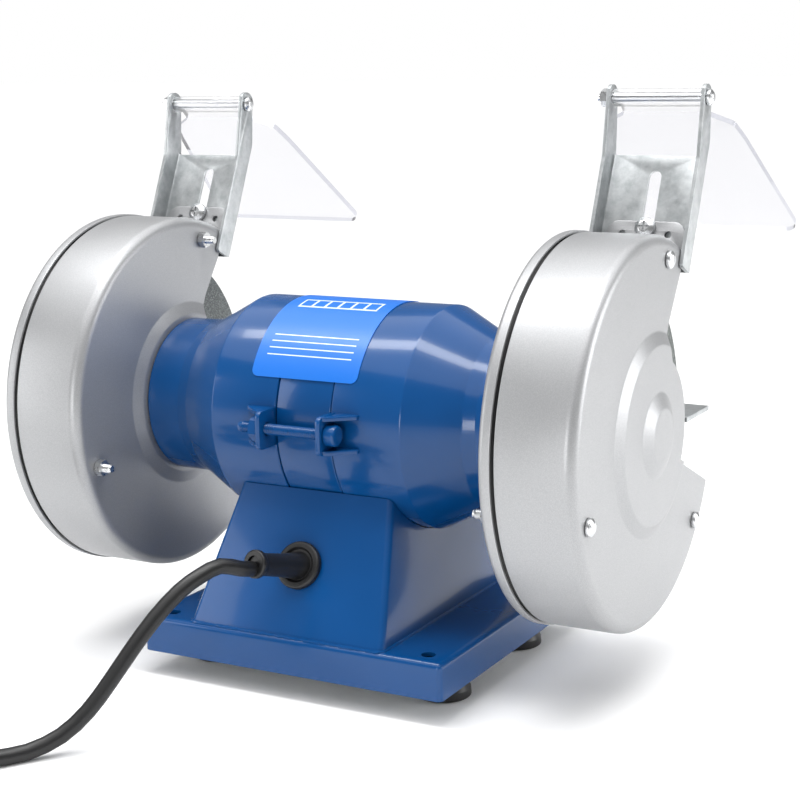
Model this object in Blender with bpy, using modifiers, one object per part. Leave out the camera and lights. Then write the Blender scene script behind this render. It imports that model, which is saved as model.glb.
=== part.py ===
# Bench grinder with two guarded wheels, eye shields and tool rests.
#
# Frame: metres, +Z up. The origin is the centre of the base's underside. The operator stands
# at -Y, so +X is the operator's right. The shaft runs along X at shaft_height.

import math

import bmesh
import bpy
from mathutils import Matrix, Vector

MM = 0.001

# Fits
gap = 0.3 * MM                  # between touching pieces
merge = 0.00001                 # merge distance for coincident points
turn_steps = 36                 # facets round a guard, a wheel or the motor
ring_steps = 18                 # facets round a flange, foot or ring
small_steps = 10                # facets round a screw

# Base and pedestal
shaft_height = 98.6 * MM
base_length = 142.6 * MM        # along X
base_depth = 136.6 * MM         # along Y
tray_height = 15.5 * MM
base_sheet = 1.6 * MM
tray_edge_round = 1.6 * MM
pedestal_foot_length = 92.4 * MM
pedestal_foot_depth = 133.0 * MM
pedestal_top_length = 72.6 * MM
pedestal_top_depth = 77.0 * MM
bottom_plate_sheet = 1.5 * MM
bottom_plate_fit = 0.5 * MM
bottom_plate_inset = 0.6 * MM   # inside the tray's lower edge
bottom_pad_radius = 24.0 * MM   # pressed down level with that edge
bolt_hole_radius = 2.9 * MM
bolt_hole_inset_x = 9.8 * MM    # from the tray's edge
bolt_hole_inset_y = 8.6 * MM
foot_radius = 11.6 * MM
foot_height = 10.1 * MM         # below the base's lower edge
foot_inset_x = 15.8 * MM
foot_inset_y = 33.0 * MM
foot_stem_radius = 3.0 * MM

# Motor
motor_offset = 2.0 * MM         # the motor and pedestal sit slightly to +X of the guards' middle
body_radius = 47.3 * MM
body_half_length = 45.0 * MM
band_half_length = 12.9 * MM    # the stator's painted band between the bells
seam = 0.4 * MM
bell_wall = 2.1 * MM
cone_end = 66.5 * MM
cone_end_radius = 35.8 * MM
neck_start = 72.0 * MM
neck_radius = 34.2 * MM
bell_plate = 3.0 * MM
bell_plate_hole = 12.0 * MM
stack_half_length = 22.0 * MM
air_gap = 0.6 * MM
rotor_radius = 22.6 * MM
shaft_radius = 6.0 * MM
shaft_core_radius = 8.0 * MM
shaft_core_half = 30.0 * MM
bearing_radius = 16.0 * MM
bearing_width = 10.0 * MM
bearing_cup_wall = 2.8 * MM
winding_length = 13.0 * MM
tie_bolt_radius = 2.4 * MM
tie_bolt_reach = 6.0 * MM       # bolt axis outside the motor's body
lug_half_height = 8.0 * MM
lug_sheet = 2.0 * MM
lug_wall_length = 13.0 * MM
tie_bolt_tail = 11.0 * MM

# Guards and wheels
guard_inner = 92.85 * MM        # inner face of each guard, from the middle
guard_width = 38.8 * MM
guard_sheet = 1.2 * MM
pan_radius = 79.4 * MM
pan_edge_round = 4.6 * MM
lid_radius = pan_radius + 0.6 * MM    # the lid stands a little proud of the pan
rim_step = 2.5 * MM             # how far the pan steps in under the lid's lip
lid_lip = 5.2 * MM
lid_edge_round = 2.0 * MM
lid_gap = 1.5 * MM              # dark line between the lid's lip and the pan's rim
boss_foot_radius = 41.5 * MM
boss_top_radius = 35.4 * MM
boss_rise = 2.4 * MM
dome_foot_radius = 17.0 * MM
dome_top_radius = 12.0 * MM
dome_rise = 2.6 * MM
hub_hole_radius = 14.0 * MM
wheel_radius = 62.5 * MM
wheel_width = 16.0 * MM
wheel_bore_radius = 6.35 * MM
wheel_inset = 11.55 * MM        # guard's inner face to the wheel
flange_radius = 20.0 * MM
flange_thickness = 3.0 * MM
flange_hub_radius = 9.0 * MM
shaft_nut_radius = 10.8 * MM
shaft_nut_thickness = 5.2 * MM
shaft_end_past_nut = 0.4 * MM
guard_screw_circle = pan_radius - 9.4 * MM
guard_screw_first = 102.5       # degrees from +Y towards +Z
guard_screw_radius = 1.9 * MM
guard_screw_head = 3.6 * MM
guard_screw_tail = 4.2 * MM
mouth_core_radius = 31.5 * MM   # the mouth stops at this radius round the shaft

# Eye shield and its bracket, measured in the bracket's leaning plane
bracket_lean = math.radians(24)
bracket_plane_y = -41.5 * MM    # the web's back face, at bracket_plane_rise above the shaft
bracket_plane_rise = 70.6 * MM
bracket_sheet = 1.5 * MM
bracket_fit = 0.4 * MM          # flange to guard
bracket_depth = 11.0 * MM
web_low = -11.5 * MM
web_high = 38.9 * MM
hinge_up = 60.3 * MM
hinge_out = 12.4 * MM
arm_radius = 5.5 * MM
slot_width = 5.4 * MM
slot_low = -2.0 * MM
slot_high = 32.3 * MM
clamp_up = 6.5 * MM
clamp_radius = 2.4 * MM
tab_half_length = 17.0 * MM
tab_high = 9.6 * MM
tab_low = -3.2 * MM
tab_foot_reach = 12.0 * MM
tab_sheet = 1.2 * MM
right_bracket_drop = 2.6 * MM   # the right bracket is clamped this much lower
shield_sheet = 2.5 * MM
shield_length = 93.0 * MM
shield_neck_half = 17.5 * MM
shield_half_low = 41.5 * MM
shield_tilt = math.radians(50)  # from hanging straight down, towards the operator
barrel_radius = 3.7 * MM
barrel_bore = 2.3 * MM
hinge_screw_radius = 2.0 * MM
hinge_head_radius = 3.3 * MM
hinge_nut_radius = 3.9 * MM

# Tool rests, from each guard's middle
rest_top = -6.0 * MM            # below the shaft
rest_sheet = 2.0 * MM
rest_to_wheel = 3.0 * MM
rest_depth = 29.5 * MM
rest_half_length = 11.0 * MM
rest_screw_y = -46.0 * MM
rest_screw_z = -33.0 * MM
rest_screw_radius = 2.4 * MM
rest_slide_out = 10.0 * MM
rest_slide_in = 1.5 * MM
rest_leg_height = 11.0 * MM

# Switch, capacitor and cable outlet
switch_height = 46.0 * MM
switch_length = 31.0 * MM
switch_depth = 24.0 * MM
switch_bezel = 2.0 * MM
switch_body_depth = 15.0 * MM
switch_pocket_length = 20.6 * MM
switch_pocket_depth = 13.4 * MM
switch_frame = 2.9 * MM
rocker_tilt = math.radians(9)
capacitor_radius = 13.0 * MM
capacitor_length = 44.0 * MM
gland_height = 42.0 * MM
gland_x = 1.0 * MM
gland_ring_radius = 10.0 * MM
gland_ring_thickness = 3.0 * MM
gland_neck_radius = 6.8 * MM
gland_collar_radius = 8.8 * MM
boot_length = 28.5 * MM
boot_radius = 4.9 * MM
boot_lip_radius = 5.8 * MM
boot_direction = Vector((0.186, 0.947, 0.263)).normalized()

# Power cord: the surface it lies on is the feet's underside
cord_radius = 3.2 * MM
coil_centre = (125.7 * MM, 212.0 * MM)
coil_mean_radius = 36.0 * MM
plug_radius = 17.5 * MM
plug_length = 34.0 * MM
plug_tail = 22.0 * MM           # cord drawn with the plug
plug_pin_radius = 2.4 * MM
plug_pin_length = 19.0 * MM
plug_pin_spacing = 19.0 * MM

# Worked out
ground = -foot_height
face_drop = math.sqrt(body_radius ** 2 - (pedestal_top_depth / 2) ** 2)
pedestal_top = shaft_height - face_drop
guard_middle = guard_inner + guard_width / 2
lean_up = Vector((0, -math.sin(bracket_lean), math.cos(bracket_lean)))
lean_out = Vector((0, math.cos(bracket_lean), math.sin(bracket_lean)))
bracket_half = guard_width / 2 + bracket_fit + bracket_sheet
bell_start = band_half_length + seam

for old in list(bpy.data.objects):
    bpy.data.objects.remove(old, do_unlink=True)

parts = bpy.data.collections.new("bench_grinder")
cutters = bpy.data.collections.new("cutters")
bpy.context.scene.collection.children.link(parts)
bpy.context.scene.collection.children.link(cutters)


# Materials

def material(name, color, roughness, metallic=0.0, alpha=1.0):
    made = bpy.data.materials.new(name)
    made.use_nodes = True
    shader = made.node_tree.nodes["Principled BSDF"]
    shader.inputs["Base Color"].default_value = (*color, 1.0)
    shader.inputs["Roughness"].default_value = roughness
    shader.inputs["Metallic"].default_value = metallic
    shader.inputs["Alpha"].default_value = alpha
    return made


blue_paint = material("blue_paint", (0.011, 0.067, 0.25), 0.25)
silver_paint = material("silver_paint", (0.55, 0.56, 0.57), 0.42, 0.5)
zinc_plate = material("zinc_plate", (0.45, 0.48, 0.48), 0.38, 0.9)
bright_steel = material("bright_steel", (0.6, 0.6, 0.6), 0.28, 1.0)
abrasive = material("abrasive", (0.15, 0.17, 0.165), 0.95)
clear_plastic = material("clear_plastic", (0.9, 0.92, 0.95), 0.08, 0.0, 0.3)
black_rubber = material("black_rubber", (0.012, 0.012, 0.013), 0.6)
black_plastic = material("black_plastic", (0.02, 0.02, 0.022), 0.45)
label_print = material("label_print", (0.02, 0.2, 0.85), 0.35)
lamination = material("lamination", (0.3, 0.31, 0.33), 0.5, 0.9)
copper = material("copper", (0.6, 0.25, 0.12), 0.4, 0.9)
rocker_red = material("rocker_red", (0.5, 0.02, 0.02), 0.35)


# Placing and shaping helpers

def place(obj, group, finish=None):
    group.objects.link(obj)
    if finish:
        obj.data.materials.append(finish)
    if group is cutters:
        obj.hide_render = True
        obj.display_type = "WIRE"
    return obj


def area_of(points):
    total = 0.0
    for (r0, a0), (r1, a1) in zip(points, points[1:] + points[:1]):
        total += r0 * a1 - r1 * a0
    return total / 2


def turned(name, profile, finish, frame, steps=turn_steps, group=parts):
    # profile: (radius, distance along the axis). It turns round the frame's Z axis.
    points = list(profile)
    if area_of(points) > 0:
        points.reverse()
    on_axis = min(r for r, a in points) < merge
    if on_axis:
        while not (points[0][0] < merge and points[-1][0] < merge):
            points = points[1:] + points[:1]
    shape = bmesh.new()
    corners = [shape.verts.new((r, 0, a)) for r, a in points]
    for first, second in zip(corners, corners[1:]):
        shape.edges.new((first, second))
    if not on_axis:
        shape.edges.new((corners[-1], corners[0]))
    mesh = bpy.data.meshes.new(name)
    shape.to_mesh(mesh)
    shape.free()
    obj = place(bpy.data.objects.new(name, mesh), group, finish)
    obj.matrix_world = frame
    turn = obj.modifiers.new("turn", "SCREW")
    turn.axis = "Z"
    turn.angle = math.tau
    turn.steps = steps
    turn.render_steps = steps
    turn.use_merge_vertices = True
    turn.merge_threshold = merge
    return obj


def along_x(x, y=0.0, z=shaft_height):
    # A frame whose Z axis is the world's X axis
    return Matrix.Translation((x, y, z)) @ Matrix.Rotation(math.pi / 2, 4, "Y")


def along(point, direction):
    turn = Vector(direction).to_track_quat("Z", "Y").to_matrix().to_4x4()
    return Matrix.Translation(point) @ turn


def frame_of(origin, x_axis, y_axis):
    x_axis = Vector(x_axis)
    y_axis = Vector(y_axis)
    z_axis = x_axis.cross(y_axis)
    made = Matrix((x_axis, y_axis, z_axis)).transposed().to_4x4()
    made.translation = origin
    return made


def flat(name, outlines, thickness, finish, frame, group=parts):
    # A flat outline with its holes, in the frame's XY plane, half its thickness to each side
    curve = bpy.data.curves.new(name, "CURVE")
    curve.dimensions = "2D"
    curve.fill_mode = "BOTH"
    curve.extrude = thickness / 2
    for outline in outlines:
        spline = curve.splines.new("POLY")
        spline.points.add(len(outline) - 1)
        for point, (x, y) in zip(spline.points, outline):
            point.co = (x, y, 0, 1)
        spline.use_cyclic_u = True
    drawn = bpy.data.objects.new(name + "_outline", curve)
    parts.objects.link(drawn)
    return meshed(name, drawn, frame, finish, group)


def meshed(name, drawn, frame, finish, group):
    bpy.context.view_layer.update()
    graph = bpy.context.evaluated_depsgraph_get()
    mesh = bpy.data.meshes.new_from_object(drawn.evaluated_get(graph))
    bpy.data.objects.remove(drawn, do_unlink=True)
    mesh.name = name
    mesh.materials.clear()
    shape = bmesh.new()
    shape.from_mesh(mesh)
    bmesh.ops.remove_doubles(shape, verts=shape.verts, dist=merge)
    shape.to_mesh(mesh)
    shape.free()
    obj = place(bpy.data.objects.new(name, mesh), group, finish)
    obj.matrix_world = frame
    return obj


def block(name, low, high, finish=None, frame=None, group=parts):
    # A box between two corners of the frame
    shape = bmesh.new()
    bmesh.ops.create_cube(shape, size=1.0)
    size = Vector(high) - Vector(low)
    middle = (Vector(high) + Vector(low)) / 2
    bmesh.ops.scale(shape, vec=size, verts=shape.verts)
    bmesh.ops.translate(shape, vec=middle, verts=shape.verts)
    mesh = bpy.data.meshes.new(name)
    shape.to_mesh(mesh)
    shape.free()
    obj = place(bpy.data.objects.new(name, mesh), group, finish)
    if frame:
        obj.matrix_world = frame
    return obj


def frustum(name, low_z, high_z, half_at, group):
    # half_at(z) gives the half length and half depth at a height
    obj = block(name, (-1, -1, low_z), (1, 1, high_z), group=group)
    for corner in obj.data.vertices:
        half_x, half_y = half_at(corner.co.z)
        corner.co.x = motor_offset + half_x * math.copysign(1, corner.co.x)
        corner.co.y = half_y * math.copysign(1, corner.co.y)
    return obj


def rod(name, frame, radius, low, high, steps=small_steps, group=cutters):
    return turned(name, [(0, low), (0, high), (radius, high), (radius, low)], None, frame, steps, group)


def hex_nut(name, corner_radius, bore, thickness, x, y=0.0, z=shaft_height):
    # A nut round an axis along X, centred at x
    outline = circle(0, 0, corner_radius, 6)
    return flat(name, [outline, circle(0, 0, bore, ring_steps)], thickness, zinc_plate, along_x(x, y, z))


def circle(x, y, radius, steps=small_steps):
    turns = [math.tau * i / steps for i in range(steps)]
    return [(x + radius * math.cos(t), y + radius * math.sin(t)) for t in turns]


def arc(x, y, radius, first, last, steps):
    turns = [math.radians(first + (last - first) * i / steps) for i in range(steps + 1)]
    return [(x + radius * math.cos(t), y + radius * math.sin(t)) for t in turns]


def boolean(obj, other, operation):
    step = obj.modifiers.new(operation.lower(), "BOOLEAN")
    step.operation = operation
    step.solver = "EXACT"
    step.object = other
    if other.name not in cutters.objects:
        parts.objects.unlink(other)
        cutters.objects.link(other)
        other.hide_render = True
        other.display_type = "WIRE"


def cut(obj, *others):
    for other in others:
        boolean(obj, other, "DIFFERENCE")


def join(obj, *others):
    for other in others:
        boolean(obj, other, "UNION")


def soften(obj, width, segments=2):
    edge = obj.modifiers.new("soft_edges", "BEVEL")
    edge.width = width
    edge.segments = segments
    edge.limit_method = "ANGLE"


def pivot(name, point, *pieces):
    # An empty on the joint's axis carries the pieces that move together
    empty = bpy.data.objects.new(name, None)
    parts.objects.link(empty)
    empty.location = point
    for piece in pieces:
        piece.parent = empty
        piece.matrix_parent_inverse = Matrix.Translation(-Vector(point))


# Base

def pedestal_half(z, inset=0.0):
    share = (z - tray_height) / (pedestal_top - tray_height)
    half_x = (pedestal_foot_length + (pedestal_top_length - pedestal_foot_length) * share) / 2
    half_y = (pedestal_foot_depth + (pedestal_top_depth - pedestal_foot_depth) * share) / 2
    return half_x - inset, half_y - inset


face_slope = Vector((pedestal_foot_depth / 2 - pedestal_half(pedestal_top)[1], pedestal_top - tray_height))
face_normal_y = face_slope.y / face_slope.length
face_normal_z = face_slope.x / face_slope.length
gland_normal = Vector((0, face_normal_y, face_normal_z))
gland_point = Vector((gland_x, pedestal_half(gland_height)[1], gland_height))
front_normal = Vector((0, -face_normal_y, face_normal_z))
switch_point = Vector((motor_offset, -pedestal_half(switch_height)[1], switch_height))
switch_frame_matrix = frame_of(switch_point, (1, 0, 0), (0, face_normal_z, face_normal_y))


def base_shell():
    half_x, half_y = base_length / 2, base_depth / 2
    shell = block("pedestal_base", (-half_x, -half_y, 0), (half_x, half_y, tray_height), blue_paint)
    soften(shell, tray_edge_round)
    rise = pedestal_top - tray_height
    slope_inset = base_sheet / face_normal_y
    join(shell, frustum("pedestal_outer", tray_height - base_sheet / 2, pedestal_top, pedestal_half, cutters))
    inner = base_sheet
    cut(shell, block("tray_inner", (-half_x + inner, -half_y + inner, -tray_height),
                     (half_x - inner, half_y - inner, tray_height - base_sheet), group=cutters))
    cut(shell, frustum("pedestal_inner", tray_height - 2 * base_sheet, pedestal_top + rise / 2,
                       lambda z: pedestal_half(z, slope_inset), cutters))
    cut(shell, rod("saddle", along_x(motor_offset), body_radius + gap, -base_length, base_length, turn_steps))
    for x in (-1, 1):
        for y in (-1, 1):
            hole = (x * (half_x - bolt_hole_inset_x), y * (half_y - bolt_hole_inset_y), tray_height)
            cut(shell, rod("bolt_hole", Matrix.Translation(hole), bolt_hole_radius, -3 * base_sheet, base_sheet))
    wall = 4 * base_sheet
    cut(shell, rod("gland_hole", along(gland_point, gland_normal), gland_neck_radius + gap, -wall, wall, ring_steps))
    opening_x = switch_length / 2 - switch_frame + gap
    opening_y = switch_depth / 2 - switch_frame + gap
    cut(shell, block("switch_opening", (-opening_x, -opening_y, -wall), (opening_x, opening_y, wall),
                     frame=switch_frame_matrix, group=cutters))


def bottom_plate_and_feet():
    half_x = base_length / 2 - base_sheet - bottom_plate_fit
    half_y = base_depth / 2 - base_sheet - bottom_plate_fit
    outline = [(-half_x, -half_y), (half_x, -half_y), (half_x, half_y), (-half_x, half_y)]
    spots = [(x * (base_length / 2 - foot_inset_x), y * (base_depth / 2 - foot_inset_y))
             for x in (-1, 1) for y in (-1, 1)]
    holes = [circle(x, y, foot_stem_radius + gap) for x, y in spots]
    inset = bottom_plate_inset
    plate = flat("bottom_plate", [outline] + holes, bottom_plate_sheet, zinc_plate,
                 Matrix.Translation((0, 0, inset + bottom_plate_sheet / 2)))
    join(plate, rod("bottom_pad", Matrix(), bottom_pad_radius, 0, inset + bottom_plate_sheet / 2, ring_steps))
    seat = inset - gap
    catch = inset + bottom_plate_sheet + gap
    profile = [(0, ground), (foot_radius - 1.2 * MM, ground), (foot_radius, ground + 1.2 * MM),
               (foot_radius - 0.4 * MM, ground + 3.4 * MM), (8.2 * MM, seat), (foot_stem_radius, seat),
               (foot_stem_radius, catch), (foot_stem_radius + 1.2 * MM, catch + 0.4 * MM),
               (foot_stem_radius - 0.6 * MM, catch + 4 * MM), (0, catch + 4 * MM)]
    names = ["foot_front_left", "foot_rear_left", "foot_front_right", "foot_rear_right"]
    for name, (x, y) in zip(names, spots):
        turned(name, profile, black_rubber, Matrix.Translation((x, y, 0)), ring_steps)


def cable_gland():
    inside = -base_sheet - gap
    ring_top = gap + gland_ring_thickness
    profile = [(0, inside - 2.4 * MM), (gland_collar_radius - 1 * MM, inside - 2.4 * MM),
               (gland_collar_radius, inside), (gland_neck_radius, inside), (gland_neck_radius, gap),
               (gland_ring_radius, gap), (gland_ring_radius, ring_top - 1 * MM),
               (gland_ring_radius - 1 * MM, ring_top), (0, ring_top)]
    gland = turned("cable_gland", profile, black_rubber, along(gland_point, gland_normal), ring_steps)
    boot = [(0, 1 * MM), (boot_radius, 1 * MM), (boot_radius - 0.3 * MM, boot_length - 3.4 * MM),
            (boot_lip_radius, boot_length - 2.2 * MM), (boot_lip_radius, boot_length), (0, boot_length)]
    join(gland, turned("boot", boot, None, along(gland_point, boot_direction), 12, cutters))


def switch():
    half_x, half_y = switch_length / 2, switch_depth / 2
    housing = block("switch_housing", (-half_x, -half_y, gap), (half_x, half_y, gap + switch_bezel),
                    black_plastic, switch_frame_matrix)
    body_x, body_y = half_x - switch_frame, half_y - switch_frame
    join(housing, block("switch_body", (-body_x, -body_y, -switch_body_depth), (body_x, body_y, 2 * gap),
                        frame=switch_frame_matrix, group=cutters))
    pocket_x, pocket_y = switch_pocket_length / 2, switch_pocket_depth / 2
    cut(housing, block("switch_pocket", (-pocket_x, -pocket_y, -7 * MM), (pocket_x, pocket_y, 5 * MM),
                       frame=switch_frame_matrix, group=cutters))
    reach = pocket_y - 0.5 * MM
    outline = [(-reach, 0.4 * MM), (-reach + 2 * MM, -3.4 * MM), (reach - 2 * MM, -3.4 * MM),
               (reach, 0.4 * MM), (reach, 4.4 * MM), (0, 3.0 * MM), (-reach, 4.4 * MM)]
    up = Vector((0, face_normal_z, face_normal_y))
    frame = frame_of(switch_point, up, front_normal) @ Matrix.Rotation(-rocker_tilt, 4, "Z")
    rocker = flat("switch_rocker", [outline], switch_pocket_length - 2 * gap, rocker_red, frame)
    pivot("rocker_pivot", switch_point, rocker)


def capacitor():
    height = bottom_plate_inset + bottom_plate_sheet + gap + capacitor_radius
    half = capacitor_length / 2
    edge = 1.5 * MM
    profile = [(0, -half), (capacitor_radius - edge, -half), (capacitor_radius, edge - half),
               (capacitor_radius, half - edge), (capacitor_radius - edge, half), (0, half)]
    turned("run_capacitor", profile, black_plastic, along_x(motor_offset, 8 * MM, height), ring_steps)


# Motor

def neck_end(side):
    # The right neck stops at its pan's raised collar, the left one at its lid
    reach = guard_inner - gap - (boss_rise if side > 0 else 0)
    return side * reach - motor_offset


def bell(name, side):
    end = abs(neck_end(side))
    wall = bell_wall
    cup = end - bell_plate
    cup_end = cup - bearing_width - gap
    cup_bore = bearing_radius + gap / 2
    profile = [(body_radius, bell_start), (body_radius, body_half_length - 0.8 * MM),
               (body_radius - 0.8 * MM, body_half_length), (cone_end_radius, cone_end),
               (neck_radius + 0.3 * MM, (cone_end + neck_start) / 2), (neck_radius, neck_start),
               (neck_radius, end), (bell_plate_hole, end), (bell_plate_hole, cup), (cup_bore, cup),
               (cup_bore, cup_end), (cup_bore + bearing_cup_wall, cup_end), (cup_bore + bearing_cup_wall, cup),
               (neck_radius - wall, cup), (neck_radius - wall, neck_start),
               (cone_end_radius - wall, cone_end), (body_radius - wall, body_half_length - wall),
               (body_radius - wall, bell_start)]
    made = turned(name, [(r, side * a) for r, a in profile], blue_paint, along_x(motor_offset))
    lug_x = motor_offset + side * (bell_start + lug_sheet / 2)
    top = body_radius + tie_bolt_reach + 6 * MM
    low = body_radius - wall * 0.7
    for face in (-1, 1):
        height = lug_half_height
        outline = [(face * low, -height), (face * (top - 3 * MM), -height), (face * top, 3 * MM - height),
                   (face * top, height - 3 * MM), (face * (top - 3 * MM), height), (face * low, height)]
        hole = circle(face * (body_radius + tie_bolt_reach), 0, tie_bolt_radius + gap)
        lug = flat("lug", [outline, hole], lug_sheet, None,
                   frame_of((lug_x, 0, shaft_height), (0, 1, 0), (0, 0, 1)), cutters)
        join(made, lug)
        for rise in (-1, 1):
            near = side * bell_start
            far = side * (bell_start + lug_wall_length)
            sheet = [(near, face * low), (near, face * (top - 3 * MM)), (far, face * (body_radius + 1 * MM)),
                     (far, face * low)]
            level = shaft_height + rise * (height - lug_sheet / 2)
            join(made, flat("lug_wall", [sheet], lug_sheet * 0.8, None,
                            Matrix.Translation((motor_offset, 0, level)), cutters))
    return made


def tie_bolt(name, nut_name, face):
    y = face * (body_radius + tie_bolt_reach)
    seat = bell_start + lug_sheet + gap
    head, head_height = 4.4 * MM, 5.0 * MM
    nut_thickness = 4.0 * MM
    profile = [(0, -seat - head_height), (head - 0.5 * MM, -seat - head_height), (head, -seat - head_height + 0.5 * MM),
               (head, -seat), (tie_bolt_radius, -seat), (tie_bolt_radius, seat + tie_bolt_tail),
               (0, seat + tie_bolt_tail)]
    turned(name, profile, zinc_plate, along_x(motor_offset, y), small_steps)
    hex_nut(nut_name, 5.6 * MM, tie_bolt_radius + gap, nut_thickness, motor_offset + seat + nut_thickness / 2, y)


def stator_and_rotor():
    spigot = body_radius - bell_wall - gap
    inner = rotor_radius + air_gap
    profile = [(spigot, -stack_half_length), (spigot, -band_half_length), (body_radius - gap, -band_half_length),
               (body_radius - gap, band_half_length), (spigot, band_half_length), (spigot, stack_half_length),
               (inner, stack_half_length), (inner, -stack_half_length)]
    turned("stator_core", profile, lamination, along_x(motor_offset))
    for name, side in (("winding_left", -1), ("winding_right", 1)):
        start = stack_half_length + gap
        end = start + winding_length
        low, high = inner + 3 * MM, spigot - 4 * MM
        ring = [(low, start), (low, end - 4 * MM), (low + 4 * MM, end), (high - 4 * MM, end),
                (high, end - 4 * MM), (high, start)]
        turned(name, [(r, side * a) for r, a in ring], copper, along_x(motor_offset), ring_steps)
    bore = shaft_core_radius + gap
    core = [(rotor_radius, -stack_half_length), (rotor_radius, stack_half_length),
            (bore, stack_half_length), (bore, -stack_half_length)]
    rotor = turned("rotor_core", core, lamination, along_x(motor_offset), ring_steps)
    end = shaft_end()
    core_low, core_high = motor_offset - shaft_core_half, motor_offset + shaft_core_half
    profile = [(0, -end), (shaft_radius - 0.8 * MM, -end), (shaft_radius, 0.8 * MM - end),
               (shaft_radius, core_low), (shaft_core_radius, core_low), (shaft_core_radius, core_high),
               (shaft_radius, core_high), (shaft_radius, end - 0.8 * MM), (shaft_radius - 0.8 * MM, end), (0, end)]
    shaft = turned("rotor_shaft", profile, bright_steel, along_x(0), ring_steps)
    for name, side in (("bearing_left", -1), ("bearing_right", 1)):
        start = abs(neck_end(side)) - bell_plate - bearing_width - gap / 2
        ring = [(bearing_radius - gap / 2, start), (bearing_radius - gap / 2, start + bearing_width),
                (shaft_radius + gap, start + bearing_width), (shaft_radius + gap, start)]
        turned(name, [(r, side * a) for r, a in ring], bright_steel, along_x(motor_offset), ring_steps)
    return [rotor, shaft]


def shaft_end():
    wheel_out = guard_inner + wheel_inset + wheel_width
    return wheel_out + 2 * gap + flange_thickness + shaft_nut_thickness + shaft_end_past_nut


def rating_label():
    # A thin sheet wrapped round the body from just above the bolts to the top
    first, last, steps = 24.5, 104.0, 16
    inner, outer = body_radius + 0.05 * MM, body_radius + 0.35 * MM
    outline = arc(0, 0, outer, first, last, steps) + arc(0, 0, inner, last, first, steps)
    low, high = -23.5 * MM, 27.0 * MM
    flat("rating_label", [outline], high - low, label_print,
         frame_of((motor_offset + (low + high) / 2, 0, shaft_height), (0, 1, 0), (0, 0, 1)))


# Guards

def mouth(name, middle):
    # The open front of a guard, as one prism through both of its walls
    core = arc(0, 0, mouth_core_radius, 120, 209, 8)
    outline = [(-48.8 * MM, 89.1 * MM), (-17.2 * MM, 43.0 * MM), (-13.2 * MM, 34.5 * MM)] + core
    outline += [(-56.7 * MM, -28.2 * MM), (-95 * MM, -45 * MM), (-120 * MM, 20 * MM), (-95 * MM, 89.1 * MM)]
    return flat(name, [outline], guard_width * 1.6, None,
                frame_of((middle, 0, shaft_height), (0, 1, 0), (0, 0, 1)), cutters)


def screw_spots():
    for i in range(3):
        turn = math.radians(guard_screw_first - 120 * i)
        yield guard_screw_circle * math.cos(turn), guard_screw_circle * math.sin(turn)


def screw_holes(middle):
    reach = guard_width
    return [rod("guard_screw_hole", along_x(middle, y, shaft_height + z), guard_screw_radius + gap, -reach, reach)
            for y, z in screw_spots()]


def pan(name, middle, closed):
    # The deep half of a guard. Its face is at -X; its rim steps in under the lid's lip.
    sheet = guard_sheet
    rim = pan_radius
    step_start = guard_width - lid_lip - lid_gap
    step_radius = pan_radius - rim_step
    step_end = guard_width - guard_sheet - gap
    if closed:
        outside = [(0, -boss_rise - dome_rise), (dome_top_radius, -boss_rise - dome_rise),
                   (dome_foot_radius, -boss_rise)]
        inside = [(dome_foot_radius - 0.5 * MM, sheet - boss_rise), (dome_top_radius - 0.5 * MM, sheet - boss_rise - dome_rise),
                  (0, sheet - boss_rise - dome_rise)]
    else:
        outside = [(hub_hole_radius, -boss_rise)]
        inside = [(hub_hole_radius, sheet - boss_rise)]
    outside += [(boss_top_radius, -boss_rise), (boss_foot_radius, 0), (rim - pan_edge_round, 0),
                (rim - pan_edge_round * 0.3, pan_edge_round * 0.3), (rim, pan_edge_round),
                (rim, step_start), (step_radius, step_start + 0.6 * MM), (step_radius, step_end)]
    inside = [(step_radius - sheet, step_end), (step_radius - sheet, step_start - 0.2 * MM),
              (rim - sheet, step_start - 1.4 * MM), (rim - sheet, pan_edge_round),
              (rim - sheet * 1.2 - pan_edge_round * 0.25, sheet + pan_edge_round * 0.25),
              (rim - pan_edge_round - sheet * 0.4, sheet), (boss_foot_radius - 0.4 * MM, sheet),
              (boss_top_radius - 0.4 * MM, sheet - boss_rise)] + inside
    face = middle - guard_width / 2
    made = turned(name, outside + inside, silver_paint, along_x(face))
    cut(made, mouth(name + "_mouth", middle), *screw_holes(middle))
    join(made, tab(middle))
    join(made, tab_foot(middle))
    return made


def lean_frame(middle, up, out):
    # Origin in the bracket's leaning plane; X along the shaft, Y up the lean
    origin = Vector((middle, bracket_plane_y, shaft_height + bracket_plane_rise)) + lean_up * up + lean_out * out
    return frame_of(origin, (-1, 0, 0), lean_up)


def tab(middle):
    half, chamfer = tab_half_length, 4 * MM
    outline = [(-half, tab_low), (half, tab_low), (half, tab_high - chamfer), (half - chamfer, tab_high),
               (chamfer - half, tab_high), (-half, tab_high - chamfer)]
    holes = [circle(0, clamp_up, clamp_radius + gap), circle(-10 * MM, clamp_up - 2.5 * MM, 1.5 * MM),
             circle(10 * MM, clamp_up - 2.5 * MM, 1.5 * MM)]
    return flat("guard_tab", [outline] + holes, tab_sheet, None,
                lean_frame(middle, 0, bracket_sheet + gap + tab_sheet / 2), cutters)


def tab_foot(middle):
    lid_side = guard_width / 2 - lid_lip - lid_gap - gap
    near = bracket_sheet + gap + tab_sheet / 2
    return block("guard_tab_foot", (-lid_side, tab_low, near),
                 (tab_half_length - 2 * MM, tab_low + tab_sheet, near + tab_foot_reach),
                 frame=lean_frame(middle, 0, 0), group=cutters)


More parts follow.
